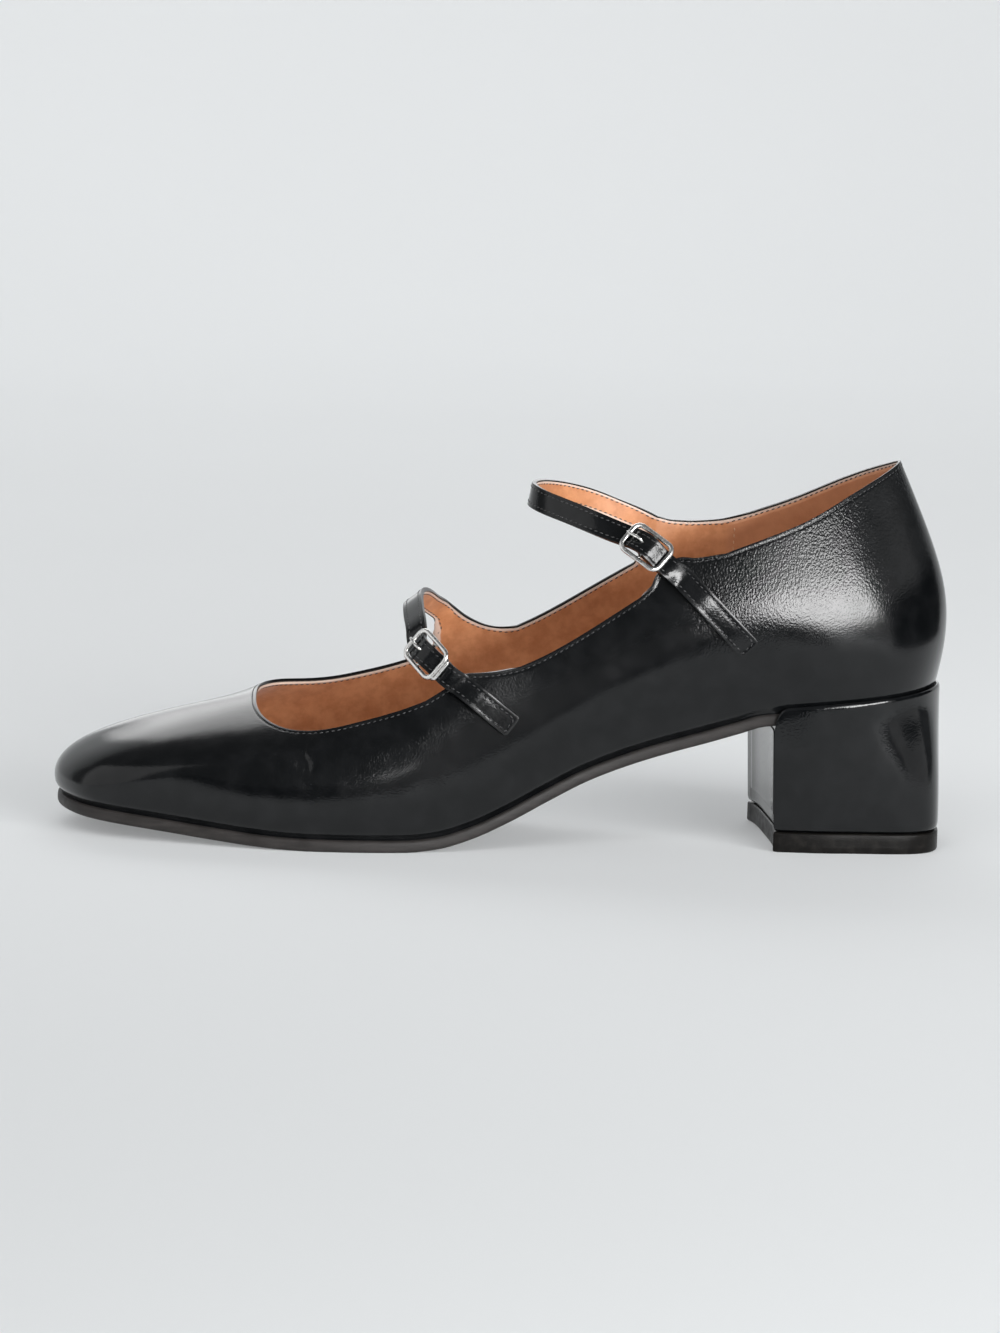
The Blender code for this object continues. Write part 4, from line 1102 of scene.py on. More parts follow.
@dataclass(frozen=True)
class BlackLeather:
    """Glazed black calf: close pores, faint mottling and soft stretched wrinkles."""

    name: str = "black_calf"
    base: Row = (0.0026, 0.003, 0.0034, 1.0)
    worn: Row = (0.0058, 0.0062, 0.0068, 1.0)
    roughness: Pair = (0.12, 0.17)
    edge_roughness: float = 0.26
    shine: float = 0.36
    coat: float = 0.08
    coat_roughness: float = 0.12
    pore: float = 0.5
    pore_depth: float = 0.014
    mottle: float = 6.0
    mottle_depth: float = 0.03
    wrinkle: Row = (1.0, 1.0, 0.7)
    wrinkle_size: float = 0.5
    wrinkle_depth: float = 0.1

    def make(self) -> Finish:
        """Build the material."""
        s = Shades(self.name)
        cloud = s.noise(14.0, 3.0)
        fine = s.noise(self.mottle, 4.0, 0.6)
        s.set(Base_Color=s.mix(s.ramp(fine, 0.35, 0.75), self.base, self.worn))
        glaze = s.ramp(s.math("ADD", cloud, s.math("MULTIPLY", fine, 0.5)), 0.5, 1.0, *self.roughness)
        rubbed = s.attribute("rubbed")
        s.set(Roughness=s.ramp(rubbed, 0.0, 1.0, glaze, self.edge_roughness))
        s.set(Coat_Weight=self.coat, Coat_Roughness=self.coat_roughness, IOR=1.5)
        s.set(Specular_IOR_Level=self.shine)
        soft = s.bump(fine, self.mottle_depth)
        run = s.noise(self.wrinkle_size, 1.5, 0.5, s.moved(self.wrinkle))
        strength = s.attribute("wrinkled")
        creased = s.bump(s.math("MULTIPLY", run, strength), self.wrinkle_depth, soft)
        s.set(Normal=s.bump(s.cells(self.pore), self.pore_depth, creased))
        return s.material


@dataclass(frozen=True)
class TanLining:
    """Soft unglazed tan leather, paler where it is pared and turned at the edge."""

    name: str = "tan_lining"
    base: Row = srgb(208, 146, 103)
    dark: Row = srgb(181, 119, 78)
    # The grip colour is the heel grip's own tone, made paler and greyer as painted sheen and light.
    grip: Row = srgb(200, 142, 106)
    edge: Row = srgb(216, 190, 174)
    roughness: Pair = (0.4, 0.55)
    pore: float = 0.6
    pore_depth: float = 0.02
    cloud: float = 5.0
    cloud_depth: float = 0.08
    edge_width: float = 0.62

    def make(self) -> Finish:
        """Build the material."""
        s = Shades(self.name)
        cloud = s.noise(self.cloud, 4.0, 0.6)
        fine = s.noise(1.4, 3.0, 0.6)
        body = s.mix(s.ramp(cloud, 0.35, 0.7), self.dark, self.base)
        body = s.mix(s.ramp(fine, 0.2, 0.8, 0.0, 0.35), body, self.base)
        # Painted light in part: the heel grip's paler colour also stands in for its sheen and extra
        # light.
        body = s.mix(s.ramp(s.attribute("grip"), 0.0, 1.0, 0.0, 0.55), body, self.grip)
        depth = s.math("ADD", s.attribute("edge_distance"), s.math("MULTIPLY", fine, 0.35))
        pared = s.ramp(depth, self.edge_width, self.edge_width + 0.35, 1.0, 0.0)
        s.set(Base_Color=s.mix(pared, body, self.edge))
        s.set(Roughness=s.ramp(fine, 0.3, 0.7, *self.roughness), Sheen_Weight=0.12)
        s.set(Sheen_Roughness=0.5)
        soft = s.bump(cloud, self.cloud_depth)
        s.set(Normal=s.bump(s.cells(self.pore), self.pore_depth, soft))
        return s.material


@dataclass(frozen=True)
class SoleLeather:
    """Dark stained sole: brown-black waxed edge and a plain, lightly scuffed underside."""

    name: str = "sole_edge"
    base: Row = srgb(38, 36, 35)
    pale: Row = srgb(50, 47, 46)

    def make(self) -> Finish:
        """Build the material."""
        s = Shades(self.name)
        run = s.noise(2.2, 3.0, 0.6, s.moved((0.25, 0.25, 2.0)))
        spots = s.noise(6.0, 5.0, 0.65)
        s.set(Base_Color=s.mix(s.ramp(s.math("ADD", run, spots), 0.75, 1.35), self.base, self.pale))
        s.set(Roughness=s.ramp(spots, 0.3, 0.7, 0.38, 0.6), Specular_IOR_Level=0.25)
        s.set(Normal=s.bump(s.cells(0.7), 0.015, s.bump(run, 0.03)))
        return s.material


@dataclass(frozen=True)
class TipRubber:
    """Black rubber of the top lift, satin and faintly pitted."""

    name: str = "tip_rubber"
    base: Row = srgb(17, 16, 15)
    pale: Row = srgb(30, 28, 26)

    def make(self) -> Finish:
        """Build the material."""
        s = Shades(self.name)
        spots = s.noise(2.5, 4.0, 0.6)
        s.set(Base_Color=s.mix(s.ramp(spots, 0.4, 0.8), self.base, self.pale))
        s.set(Roughness=s.ramp(spots, 0.3, 0.7, 0.3, 0.42), Specular_IOR_Level=0.1)
        s.set(Normal=s.bump(s.noise(0.5, 2.0), 0.02, s.bump(s.noise(9.0), 0.06)))
        return s.material


@dataclass(frozen=True)
class BuckleNickel:
    """Polished nickel with faint polishing waves and a little tarnish."""

    name: str = "bright_nickel"
    base: Row = (0.93, 0.92, 0.9, 1.0)
    dull: Row = (0.7, 0.69, 0.67, 1.0)

    def make(self) -> Finish:
        """Build the material."""
        s = Shades(self.name)
        spots = s.noise(1.6, 4.0, 0.6)
        s.set(Base_Color=s.mix(s.ramp(spots, 0.5, 0.85, 0.0, 0.5), self.base, self.dull))
        s.set(Metallic=1.0, Roughness=s.ramp(spots, 0.3, 0.75, 0.2, 0.36))
        s.set(Normal=s.bump(s.noise(1.1), 0.012))
        return s.material


@dataclass(frozen=True)
class Thread:
    """Twisted sewing thread."""

    name: str
    base: Row
    pale: Row
    roughness: float = 0.5

    def make(self) -> Finish:
        """Build the material."""
        s = Shades(self.name)
        twist = s.noise(0.28, 1.0, 0.5, s.moved((1.0, 1.0, 1.6)))
        s.set(Base_Color=s.mix(s.ramp(twist, 0.3, 0.7), self.base, self.pale))
        s.set(Roughness=self.roughness, Specular_IOR_Level=0.4)
        s.set(Normal=s.bump(twist, 0.04))
        return s.material


@dataclass(frozen=True)
class StudioPaper:
    """Seamless pale studio floor and backdrop with a painted glow, as from a light table below."""

    name: str = "studio_paper"
    base: Row = (0.635, 0.65, 0.657, 1.0)
    glow: Row = (0.985, 1.0, 1.01, 1.0)
    glow_strength: Pair = (0.055, 0.265)
    glow_reach: Pair = (-0.5, 0.2)

    def make(self) -> Finish:
        """Build the material."""
        s = Shades(self.name)
        pale = tuple(c * 1.06 for c in self.base)
        s.set(Base_Color=s.mix(s.noise(600.0, 2.0), self.base, pale), Roughness=0.9)
        s.set(Specular_IOR_Level=0.0, Emission_Color=self.glow)
        # Painted light: the floor's glow lifts the shoe's shadows, fainter at the front and stronger
        # behind.
        s.set(Emission_Strength=s.ramp(s.axis("Y"), *self.glow_reach, *self.glow_strength))
        return s.material


# --- stitches


@dataclass
class Stitching:
    """Rows of stitches laid along lines by one Geometry Nodes tree."""

    name: str
    material: Finish
    length: float = 1.15
    spacing: float = 1.7
    radius: float = 0.19
    slant: float = 0.14
    seed: int = 7
    wobble: Pair = (0.4, 1.6)
    lines: list[tuple[Array, Array, bool]] = field(default_factory=list)

    def add(self, points: Array, outward: Array, closed: bool, lift: float = 0.0) -> None:
        """Add a line of stitches, lifted outwards from its points, closed or open."""
        self.lines.append((np.asarray(points) + np.asarray(outward) * lift, outward, closed))

    def guide(self) -> Piece:
        """Mesh of edges along every line, with the way out of the leather on its points."""
        points, edges, ways = [], [], []
        for line, outward, closed in self.lines:
            start, count = len(points), len(line)
            points += list(line * MM)
            ways += list(outward)
            edges += [(start + i, start + i + 1) for i in range(count - 1)]
            if closed:
                edges.append((start + count - 1, start))
        mesh = bpy.data.meshes.new(self.name)
        mesh.from_pydata(points, edges, [])
        layer = mesh.attributes.new("outward", "FLOAT_VECTOR", "POINT")
        layer.data.foreach_set("vector", np.asarray(ways, np.float32).ravel())
        return link_object(self.name + "_guide", mesh)

    def tree(self) -> bpy.types.NodeTree:
        """Node tree that sets one stitch at each step along a line."""
        tree = bpy.data.node_groups.new(self.name + "_tree", "GeometryNodeTree")
        tree.is_modifier = True
        kinds = {"Geometry": "Geometry", "Spacing": "Float", "Length": "Float", "Radius": "Float",
                 "Slant": "Float", "Seed": "Int", "Thread": "Material"}
        for label, kind in kinds.items():
            tree.interface.new_socket(label, in_out="INPUT", socket_type="NodeSocket" + kind)
        tree.interface.new_socket("Geometry", in_out="OUTPUT", socket_type="NodeSocketGeometry")
        given = add_node(tree, "NodeGroupInput", {}).outputs

        def step(kind: str, inputs: Inputs, **settings: object) -> Socket:
            """First output of a new node."""
            return add_node(tree, kind, inputs, **settings).outputs[0]

        curve = step("GeometryNodeMeshToCurve", {"Mesh": given["Geometry"]})
        even = step("GeometryNodeResampleCurve", {"Curve": curve, "Length": given["Spacing"]},
                    mode="LENGTH")
        outward = step("GeometryNodeInputNamedAttribute", {"Name": "outward"}, data_type="FLOAT_VECTOR")
        ways = {"Primary Axis": outward, "Secondary Axis": step("GeometryNodeInputTangent", {})}
        turn = step("FunctionNodeAxesToRotation", ways, primary_axis="Z", secondary_axis="X")
        wobble = add_node(tree, "FunctionNodeRandomValue", {
            2: self.wobble[0], 3: self.wobble[1], "Seed": given["Seed"]}, data_type="FLOAT")
        yaw = step("ShaderNodeMath", {0: wobble.outputs[1], 1: given["Slant"]}, operation="MULTIPLY")
        pack = step("ShaderNodeCombineXYZ", {"Z": yaw})
        spin = step("FunctionNodeRotateRotation", {"Rotation": turn, "Rotate By": pack},
                    rotation_space="LOCAL")
        ball = step("GeometryNodeMeshUVSphere", {"Segments": 6, "Rings": 5, "Radius": 1.0})
        half = step("ShaderNodeMath", {0: given["Length"], 1: 0.5}, operation="MULTIPLY")
        size = step("ShaderNodeCombineXYZ", {"X": half, "Y": given["Radius"], "Z": given["Radius"]})
        stitch = step("GeometryNodeTransform", {"Geometry": ball, "Scale": size})
        row = step("GeometryNodeInstanceOnPoints", {"Points": even, "Instance": stitch,
                                                    "Rotation": spin})
        sewn = step("GeometryNodeRealizeInstances", {"Geometry": row})
        sewn = step("GeometryNodeSetShadeSmooth", {"Geometry": sewn})
        sewn = step("GeometryNodeSetMaterial", {"Geometry": sewn, "Material": given["Thread"]})
        add_node(tree, "NodeGroupOutput", {"Geometry": sewn})
        return tree

    def build(self, slot: str) -> None:
        """Sew every line into one plain mesh.

        Args:
            slot: the record's material slot of the thread.
        """
        guide = self.guide()
        tree = self.tree()
        modifier = guide.modifiers.new("sew", "NODES")
        modifier.node_group = tree
        settings = {"Spacing": self.spacing * MM, "Length": self.length * MM,
                    "Radius": self.radius * MM, "Slant": self.slant, "Seed": self.seed,
                    "Thread": self.material}
        for item in tree.interface.items_tree:
            if item.in_out == "INPUT" and item.name in settings:
                modifier[item.identifier] = settings[item.name]
        dress(plain_copy(guide, self.name), slot)


# --- leather and lining


@dataclass
class UpperLeather:
    """Black outer leather of the vamp, the quarters and both straps, in one skin."""

    skin: Skin
    leather: Finish
    edge_round: float = 0.36
    stitch_sink: float = 0.08
    edge_swell: float = 0.05
    swell_width: float = 0.4
    stitch_width: float = 0.3
    edge_fade: Pair = (0.5, 4.0)
    rubbed_reach: Pair = (0.2, 0.9)
    grained_from: Pair = (62.0, 76.0)
    creases: Sequence[Row] = (
        (-55.4, 31.0, -53.9, 17.0, 0.8, 0.45),
        (-56.9, 30.0, -55.0, 20.0, 0.7, -0.22),
        (-53.6, 30.0, -53.4, 19.0, 0.7, -0.08),
        (-50.0, 27.0, -49.0, 16.0, 1.2, 0.05),
        (-44.5, 28.5, -43.0, 18.0, 1.5, 0.05),
        (-37.5, 30.0, -36.5, 19.0, 1.4, -0.05),
        (-31.0, 32.0, -30.0, 20.0, 1.6, 0.05),
        (-23.5, 33.0, -22.0, 22.0, 1.5, -0.04),
        (19.0, 58.0, 23.0, 42.0, 2.0, 0.06),
        (26.0, 62.0, 29.0, 46.0, 1.8, -0.05),
    )

    def relief(self) -> Array:
        """Height over the plain form at each point of the skin."""
        distance = self.skin.edge_distance
        lift = self.edge_swell * hump(distance, STITCH_BELOW / 2, self.swell_width)
        lift -= self.stitch_sink * hump(distance, STITCH_BELOW, self.stitch_width)
        points = self.skin.points
        wall = (self.skin.on_strap == 0) * ease(distance, *self.edge_fade)
        for x0, z0, x1, z1, width, depth in self.creases:
            run = np.array([x1 - x0, z1 - z0])
            length = np.hypot(*run)
            away = points[:, [0, 2]] - (x0, z0)
            along = away @ run / length
            across = (away[:, 0] * run[1] - away[:, 1] * run[0]) / length
            across += 0.5 * np.sin(along * 0.9 + x0)
            share = ease(along, -length * 0.3, length * 0.2) * (1 - ease(along, length * 0.8,
                                                                         length * 1.3))
            lift -= depth * hump(across, 0.0, width) * share * wall * (points[:, 1] < 0)
        return lift

    def wrinkled(self) -> Array:
        """How strongly the fine wrinkles show at each point of the skin."""
        points = self.skin.points
        x, z = points[:, 0], points[:, 2]
        quarter = hump(x, 84.0, 40.0) * ease(z, *self.grained_from)
        collar = 0.5 * (1 - ease(self.skin.edge_distance, 3.0, 14.0)) * ease(x, 40.0, 60.0)
        vamp = 0.45 * hump(x, -38.0, 26.0) * ease(z, 12.0, 20.0)
        return np.where(self.skin.on_strap > 0.5, 0.2, 0.1 + quarter + collar + vamp)

    def rubbed(self) -> Array:
        """How much the glaze is rubbed off at each point: all of it on the turned edge."""
        return 1 - ease(self.skin.edge_distance, *self.rubbed_reach)

    def surface(self) -> Array:
        """Points of the leather's outer face, with its relief."""
        return self.skin.points + self.skin.normals * self.relief()[:, None]

    def build(self) -> BVHTree:
        """Make the piece and return a search tree of its outer face."""
        points = self.surface()
        piece = mesh_object("upper_leather", points, self.skin.faces, self.leather)
        set_attribute(piece, "wrinkled", self.wrinkled())
        set_attribute(piece, "rubbed", self.rubbed())
        add_wall(piece, STRAP_LEATHER, self.skin.depth() / STRAP_LEATHER)
        add_bevel(piece, self.edge_round)
        dress(piece, "black_leather", "upper", "strap_front", "strap_rear")
        return search_tree(points, self.skin.faces)


@dataclass
class Lining:
    """Tan leather lining of the upper and of both straps' undersides."""

    skin: Skin
    leather: Finish
    inset: float = 0.5
    gap: float = 0.02
    thickness: float = 0.6
    strap_share: float = 0.42
    edge_round: float = 0.12
    grip_from: Pair = (65.6, 66.6)
    grip_share: float = 0.6
    seam_x: float = 67.8
    seam_heights: Pair = (52.0, 84.5)

    def surface(self) -> Array:
        """Points of the lining's face against the leather."""
        depth = self.skin.depth()[:, None] + self.gap
        return self.skin.drawn_in(self.inset) - self.skin.calmed() * depth

    def build(self) -> BVHTree:
        """Make the piece and return a search tree of its inner face."""
        points = self.surface()
        piece = mesh_object("lining", points, self.skin.faces, self.leather)
        set_attribute(piece, "edge_distance", self.skin.edge_distance)
        grip = ease(points[:, 0], *self.grip_from) * (self.skin.on_strap == 0)
        set_attribute(piece, "grip", grip)
        shares = 1 - (1 - self.strap_share) * self.skin.on_strap
        shares += self.grip_share * grip * ease(self.skin.edge_distance, 0.4, 1.6)
        inner = points - self.skin.normals * self.thickness * shares[:, None]
        faces = [tuple(reversed(face)) for face in self.skin.faces]
        most = 1 + self.grip_share
        add_wall(piece, self.thickness * most, shares / most)
        add_bevel(piece, self.edge_round, 2)
        dress(piece, "tan_lining")
        return search_tree(inner, faces)

    def seams(self, tree: BVHTree) -> list[tuple[Array, Array]]:
        """Lines down the front edge of the heel grip, on both sides of the foot.

        Args:
            tree: the lining's inner face.

        Returns:
            Points of each line and the direction out of the lining at each.
        """
        lines = []
        for side in Side:
            points, ways = [], []
            for z in np.linspace(*self.seam_heights, 24):
                way = Vector((0.0, float(side.value), 0.0))
                place, normal, _, _ = tree.ray_cast(Vector((self.seam_x, 0.0, z)), way)
                if place is not None:
                    points.append(place)
                    ways.append(normal)
            lines.append((np.array(points), np.array(ways)))
        return lines


# --- sole and sock


def plate(name: str, rings: Sequence[Array], across: int, height_low: Along,
          height_high: Along, material: Finish) -> Piece:
    """Closed plate from rings round the foot, its two faces ruled across.

    Args:
        name: the piece's name.
        rings: rings of x y z from its underside to its top, anticlockwise from above.
        across: how many strips each half-face is ruled in.
        height_low: height of the underside at x y points.
        height_high: height of the top at x y points.
        material: its finish.

    Returns:
        The new object, with its doubled points merged.
    """
    size = len(rings[0])
    half = size // 2
    points = list(np.vstack(rings))
    faces = grid_faces(len(rings), size, closed=True)
    for ring, height, flip in ((rings[0], height_low, True), (rings[-1], height_high, False)):
        start = len(points)
        for i in range(half + 1):
            first, last = ring[i], ring[(size - i) % size]
            t = np.linspace(0, 1, across + 1)[:, None]
            rung = first + (last - first) * t
            rung[1:-1, 2] = height(rung[1:-1])
            points += list(rung)
        cap = grid_faces(half + 1, across + 1)
        faces += [tuple(start + k for k in (reversed(f) if flip else f)) for f in cap]
    piece = mesh_object(name, np.array(points), faces, material)
    outwards(piece, merged=True)
    return piece


def sole_offset(x: Array | float) -> Array:
    """How far the sole stands outside the featherline, drawn in under the heel's cup."""
    return SOLE_WELT + (SEAT_INSET - SOLE_WELT) * ease(x, *SEAT_BLEND)


def foot_ring(offset: Along, height: Along, count: int = 360) -> Array:
    """Ring of points round the foot, anticlockwise seen from above, from the back."""
    stations = np.linspace(BACK_STATION, -BACK_STATION, count, endpoint=False)
    x = FORM.upper(stations)[..., FOOT_X]
    edge = FORM.outline(stations, offset(x))
    return np.column_stack([edge, height(edge[:, 0])])


@dataclass
class Outsole:
    """Thin leather sole with a rounded, waxed edge."""

    leather: Finish
    across: int = 16
    profile: Sequence[Pair] = (
        (-1.6, 0.0), (-0.75, 0.0), (-0.42, 0.12), (-0.18, 0.36), (-0.05, 0.7), (0.0, 1.1),
        (0.0, 1.7), (-0.03, 2.3), (-0.12, 2.75), (-0.3, 3.1), (-0.6, 3.32), (-1.1, 3.4), (-1.6, 3.4),
    )

    def build(self) -> None:
        """Make the piece."""
        rings = []
        for offset, height in self.profile:
            share = height / SOLE_THICKNESS
            rings.append(foot_ring(
                lambda x, o=offset: sole_offset(x) + o,
                lambda x, h=share: FORM.sole_bottom(x) * (1 - h) + FORM.sole_top(x) * h))
        piece = plate("outsole_leather", rings, self.across, lambda p: FORM.sole_bottom(p[:, 0]),
                      lambda p: FORM.sole_top(p[:, 0]), self.leather)
        dress(piece, "sole_leather", "outsole")


@dataclass
class Sock:
    """Tan sock over the insole board, dished to the foot, with a stitched heel pad."""

    leather: Finish
    thread: Finish
    inset: float = 1.55
    edge_round: float = 0.5
    dish: float = 0.9
    across: int = 22
    pad_middle: Pair = (92.0, 0.0)
    pad_reach: Pair = (25.0, 16.5)
    pad_points: int = 120
    board_gap: float = 0.05

    def top(self, points: Array) -> Array:
        """Height of the sock's face: lower along its middle than at its edges."""
        x = points[:, 0]
        stations = FORM.station_at(Side.MEDIAL, x, FOOT_X)
        medial = FORM.upper(stations)[..., 1]
        lateral = FORM.upper(FORM.station_at(Side.LATERAL, x, FOOT_X))[..., 1]
        half = np.maximum((medial - lateral) / 2, 1.0)
        share = np.clip((points[:, 1] - (medial + lateral) / 2) / half, -1.0, 1.0)
        return FORM.sole_top(x) + GAP + BOARD_THICKNESS + self.dish * (share**4 - 1) + self.dish

    def build(self) -> None:
        """Make the sock and the stitches round its heel pad."""
        def low(x: Array) -> Array:
            """Height of the sock's underside."""
            return FORM.sole_top(x) + GAP + self.board_gap

        rings = []
        for inset, drop in ((0.8, None), (0.0, None), (0.0, self.edge_round),
                            (0.15, 0.15), (self.edge_round, 0.0)):
            ring = foot_ring(lambda x, i=inset: -(self.inset + i) + 0 * x, low)
            if drop is not None:
                ring[:, 2] = self.top(ring) - drop
            rings.append(ring)
        piece = plate("sock", rings, self.across, lambda p: low(p[:, 0]), self.top, self.leather)
        set_even(piece, edge_distance=9.0, grip=0.0)
        dress(piece, "tan_lining", "insole")
        ring = np.zeros((self.pad_points, 3))
        ring[:, :2] = circle(1.0, self.pad_points) * self.pad_reach + self.pad_middle
        ring[:, 2] = self.top(ring)
        stitches = Stitching("sock_stitches", self.thread, 1.3, 2.6, 0.2, 0.1)
        stitches.add(ring, np.tile((0.0, 0.0, 1.0), (self.pad_points, 1)), True, 0.04)
        stitches.build("tan_lining")


# --- heel


@dataclass
class Heel:
    """Leather-covered block heel with a cup round the seat, a breast panel and a top lift."""

    leather: Finish
    rubber: Finish
    front_lateral: float = 75.6
    front_medial: float = 73.6
    front_lean: float = 0.9
    lean_run: float = 15.0
    taper: float = 0.955
    cup_clearance: float = 1.05
    cup_wall: float = 0.95
    cup_depth: float = 5.5
    cup_front: float = 4.0
    cup_round: float = 1.3
    cup_lip: float = 0.3
    breast_hollow: float = 1.4
    corner_start: float = 96.0
    corner_reach: Pair = (28.9, 27.2)
    inset_run: float = 3.0
    base_power: float = 4.6
    power_fade: Pair = (0.0, 1.0)
    breast_points: int = 23
    corner_steps: Row = (0.0, 0.018, 0.036, 0.06, 0.09, 0.13, 0.18, 0.24)
    station_step: float = 0.125
    levels: int = 14
    fold: Sequence[Pair] = (
        (1.0, 0.0), (0.62, 0.004), (0.36, 0.012), (0.18, 0.024), (0.07, 0.038), (0.02, 0.052),
        (0.0, 0.066),
    )
    panel_edge: float = 3.4
    panel_foot: float = 3.6
    panel_lift: float = 0.32
    panel_wall: float = 0.6
    panel_round: float = 0.16
    panel_grid: tuple[int, int, int] = (15, 14, 19)
    panel_height: float = 24.0
    panel_top: float = 0.985
    front_corner: float = 0.35
    squeeze_run: float = 1.4
    breast_turn: float = 0.06
    cover_foot: float = LIFT_HEIGHT + 0.25
    turn_in: float = 1.6
    side_start: float = 0.09
    lift_over: float = 0.05
    lift_corner: float = 0.3
    lift_profile: Sequence[Pair] = (
        (2.5, 0.0), (0.9, 0.0), (0.45, 0.06), (0.15, 0.25), (0.0, 0.6), (0.0, 2.0), (0.0, 3.6),
        (0.0, LIFT_HEIGHT - 0.6), (0.08, LIFT_HEIGHT - 0.25), (0.25, LIFT_HEIGHT - 0.08),
        (0.6, LIFT_HEIGHT), (1.6, LIFT_HEIGHT),
    )

    @property
    def outer(self) -> float:
        """How far the block stands outside the featherline."""
        return self.cup_clearance + self.cup_wall

    def stations(self) -> Array:
        """Stations from the lateral front corner by the back to the medial one."""
        lateral = abs(float(FORM.station_at(Side.LATERAL, self.front_lateral, FOOT_X)))
        medial = float(FORM.station_at(Side.MEDIAL, self.front_medial, FOOT_X))
        first = max(lateral, medial) + self.corner_steps[-1]
        even = np.arange(math.ceil(first / self.station_step) * self.station_step, BACK_STATION,
                         self.station_step)
        steps = np.array(self.corner_steps)
        return np.concatenate([-(lateral + steps), -even, [BACK_STATION], even[::-1],
                               medial + steps[::-1]])

    def squared(self, x: Array, y: Array, power: float) -> tuple[Array, Array]:
        """Plan of a ring with its back corners filled out by a superellipse's power."""
        run = np.maximum(x - self.corner_start, 0.0) / self.corner_reach[0]
        side = np.abs(y) / self.corner_reach[1]
        growth = np.hypot(run, side) / np.maximum(run**power + side**power, 1e-9)**(1 / power)
        growth = np.where(run > 0, growth, 1.0)
        return np.where(run > 0, self.corner_start + (x - self.corner_start) * growth, x), y * growth

    def ring(self, offset: float, inset: float, taper: float, lean: float,
             height: Callable[[Array, Array], Array], corner: float = 0.0,
             power: float = 2.0) -> Array:
        """Ring round the heel, anticlockwise from above, with a hollow front face.

        Args:
            offset: how far it stands outside the featherline.
            inset: how far its front face is set back, with the ends of its sides.
            taper: scale of its width.
            lean: how far its front corners are set back.
            height: gives heights from x and from the distance behind the front.
            corner: how far its front corners are rounded off.
            power: how square its back corners are, 2 leaving them as the foot's.

        Returns:
            One row of x y z a point.
        """
        stations = self.stations()
        edge = FORM.outline(stations, offset)
        x, y = edge[:, 0], edge[:, 1]
        front = np.where(y < 0, self.front_lateral, self.front_medial)
        behind = FORM.upper(stations)[..., FOOT_X] - front
        z = height(x, behind)
        x, y = self.squared(x, y * taper, power)
        x = x + lean * (1 - ease(behind, 0.0, self.lean_run))
        x = x + inset * (1 - ease(behind, 0.0, self.inset_run * max(inset, GAP)))
        squeeze = corner * (1 - ease(behind, 0.0, self.squeeze_run)) * np.sign(y)
        side = np.column_stack([x, y - squeeze, z])
        start, end = side[-1, :2], side[0, :2]
        t = np.linspace(0, 1, self.breast_points + 2)[1:-1]
        plan = start + (end - start) * t[:, None]
        plan[:, 0] += self.breast_hollow * (1 - (2 * t - 1)**4)
        plan[:, 0] += (1 - ease(np.minimum(t, 1 - t), 0.0, self.breast_turn)) * corner
        face = np.column_stack([plan, height(plan[:, 0], np.zeros(len(plan)))])
        return np.vstack([side, face])

    def floor(self, x: Array) -> Array:
        """Height of the heel's seat under the sole."""
        return FORM.sole_bottom(x) - GAP

    def rim(self, x: Array, behind: Array) -> Array:
        """Height of the heel's upper edge: a cup round the seat, rounded down to the breast."""
        fade = 1 - np.minimum(np.asarray(behind) / self.cup_front, 1.0)
        return self.floor(x) + self.cup_depth * np.sqrt(np.maximum(1 - fade * fade, 0.0))

    def body_ring(self, share: float, offset: float, inset: float) -> Array:
        """Ring of the covered block at a share of its height."""
        taper = self.taper + (1 - self.taper) * share
        lean = self.front_lean * (1 - share)
        power = self.base_power + (2 - self.base_power) * float(ease(share, *self.power_fade))

        def height(x: Array, behind: Array) -> Array:
            """Height between the cover's foot and the cup's round."""
            low = self.cover_foot
            return low + (self.rim(x, behind) - self.cup_round - low) * share

        return self.ring(offset, inset, taper, lean, height, self.front_corner, power)

    def level_ring(self, inset: float, height: float, outer: float, corner: float) -> Array:
        """Ring of the heel's foot at one height, drawn in by an inset."""
        return self.ring(outer - inset, inset, self.taper, self.front_lean,
                         lambda x, behind: np.full(np.shape(x), height), corner, self.base_power)

    def build(self) -> None:
        """Make the covered block, its breast panel and the lift."""
        self.build_block()
        self.build_panel()
        self.build_lift()

    def build_block(self) -> None:
        """Block with its cup, rounded where the cover turns in above the lift."""
        outer, corner = self.outer, self.front_corner
        rings = [self.level_ring(self.turn_in, self.cover_foot, outer, corner)]
        rings += [self.body_ring(share, outer - inset, inset) for inset, share in self.fold]
        rings += [self.body_ring(float(share), outer, 0.0)
                  for share in np.linspace(self.side_start, 1, self.levels)]
        crown = self.cup_wall - self.cup_lip
        profile = [(crown * (1 - math.cos(turn)), self.cup_round * (math.sin(turn) - 1))
                   for turn in np.linspace(0, math.pi / 2, 8)[1:]]
        profile += [(crown + self.cup_lip * math.sin(turn), self.cup_lip * (math.cos(turn) - 1))
                    for turn in np.linspace(0, math.pi / 2, 4)[1:]]
        rings += [self.ring(outer - inset, inset, 1.0, 0.0,
                            lambda x, behind, h=lift: self.rim(x, behind) + h, corner)
                  for inset, lift in profile]
        rings.append(self.ring(self.cup_clearance - 0.25, self.cup_wall + 0.6, 1.0, 0.0,
                               lambda x, behind: self.floor(x), corner))
        piece = stack("heel_cover", rings, self.leather)
        set_even(piece, wrinkled=0.05, rubbed=0.0)
        dress(piece, "black_leather", "heel_block")

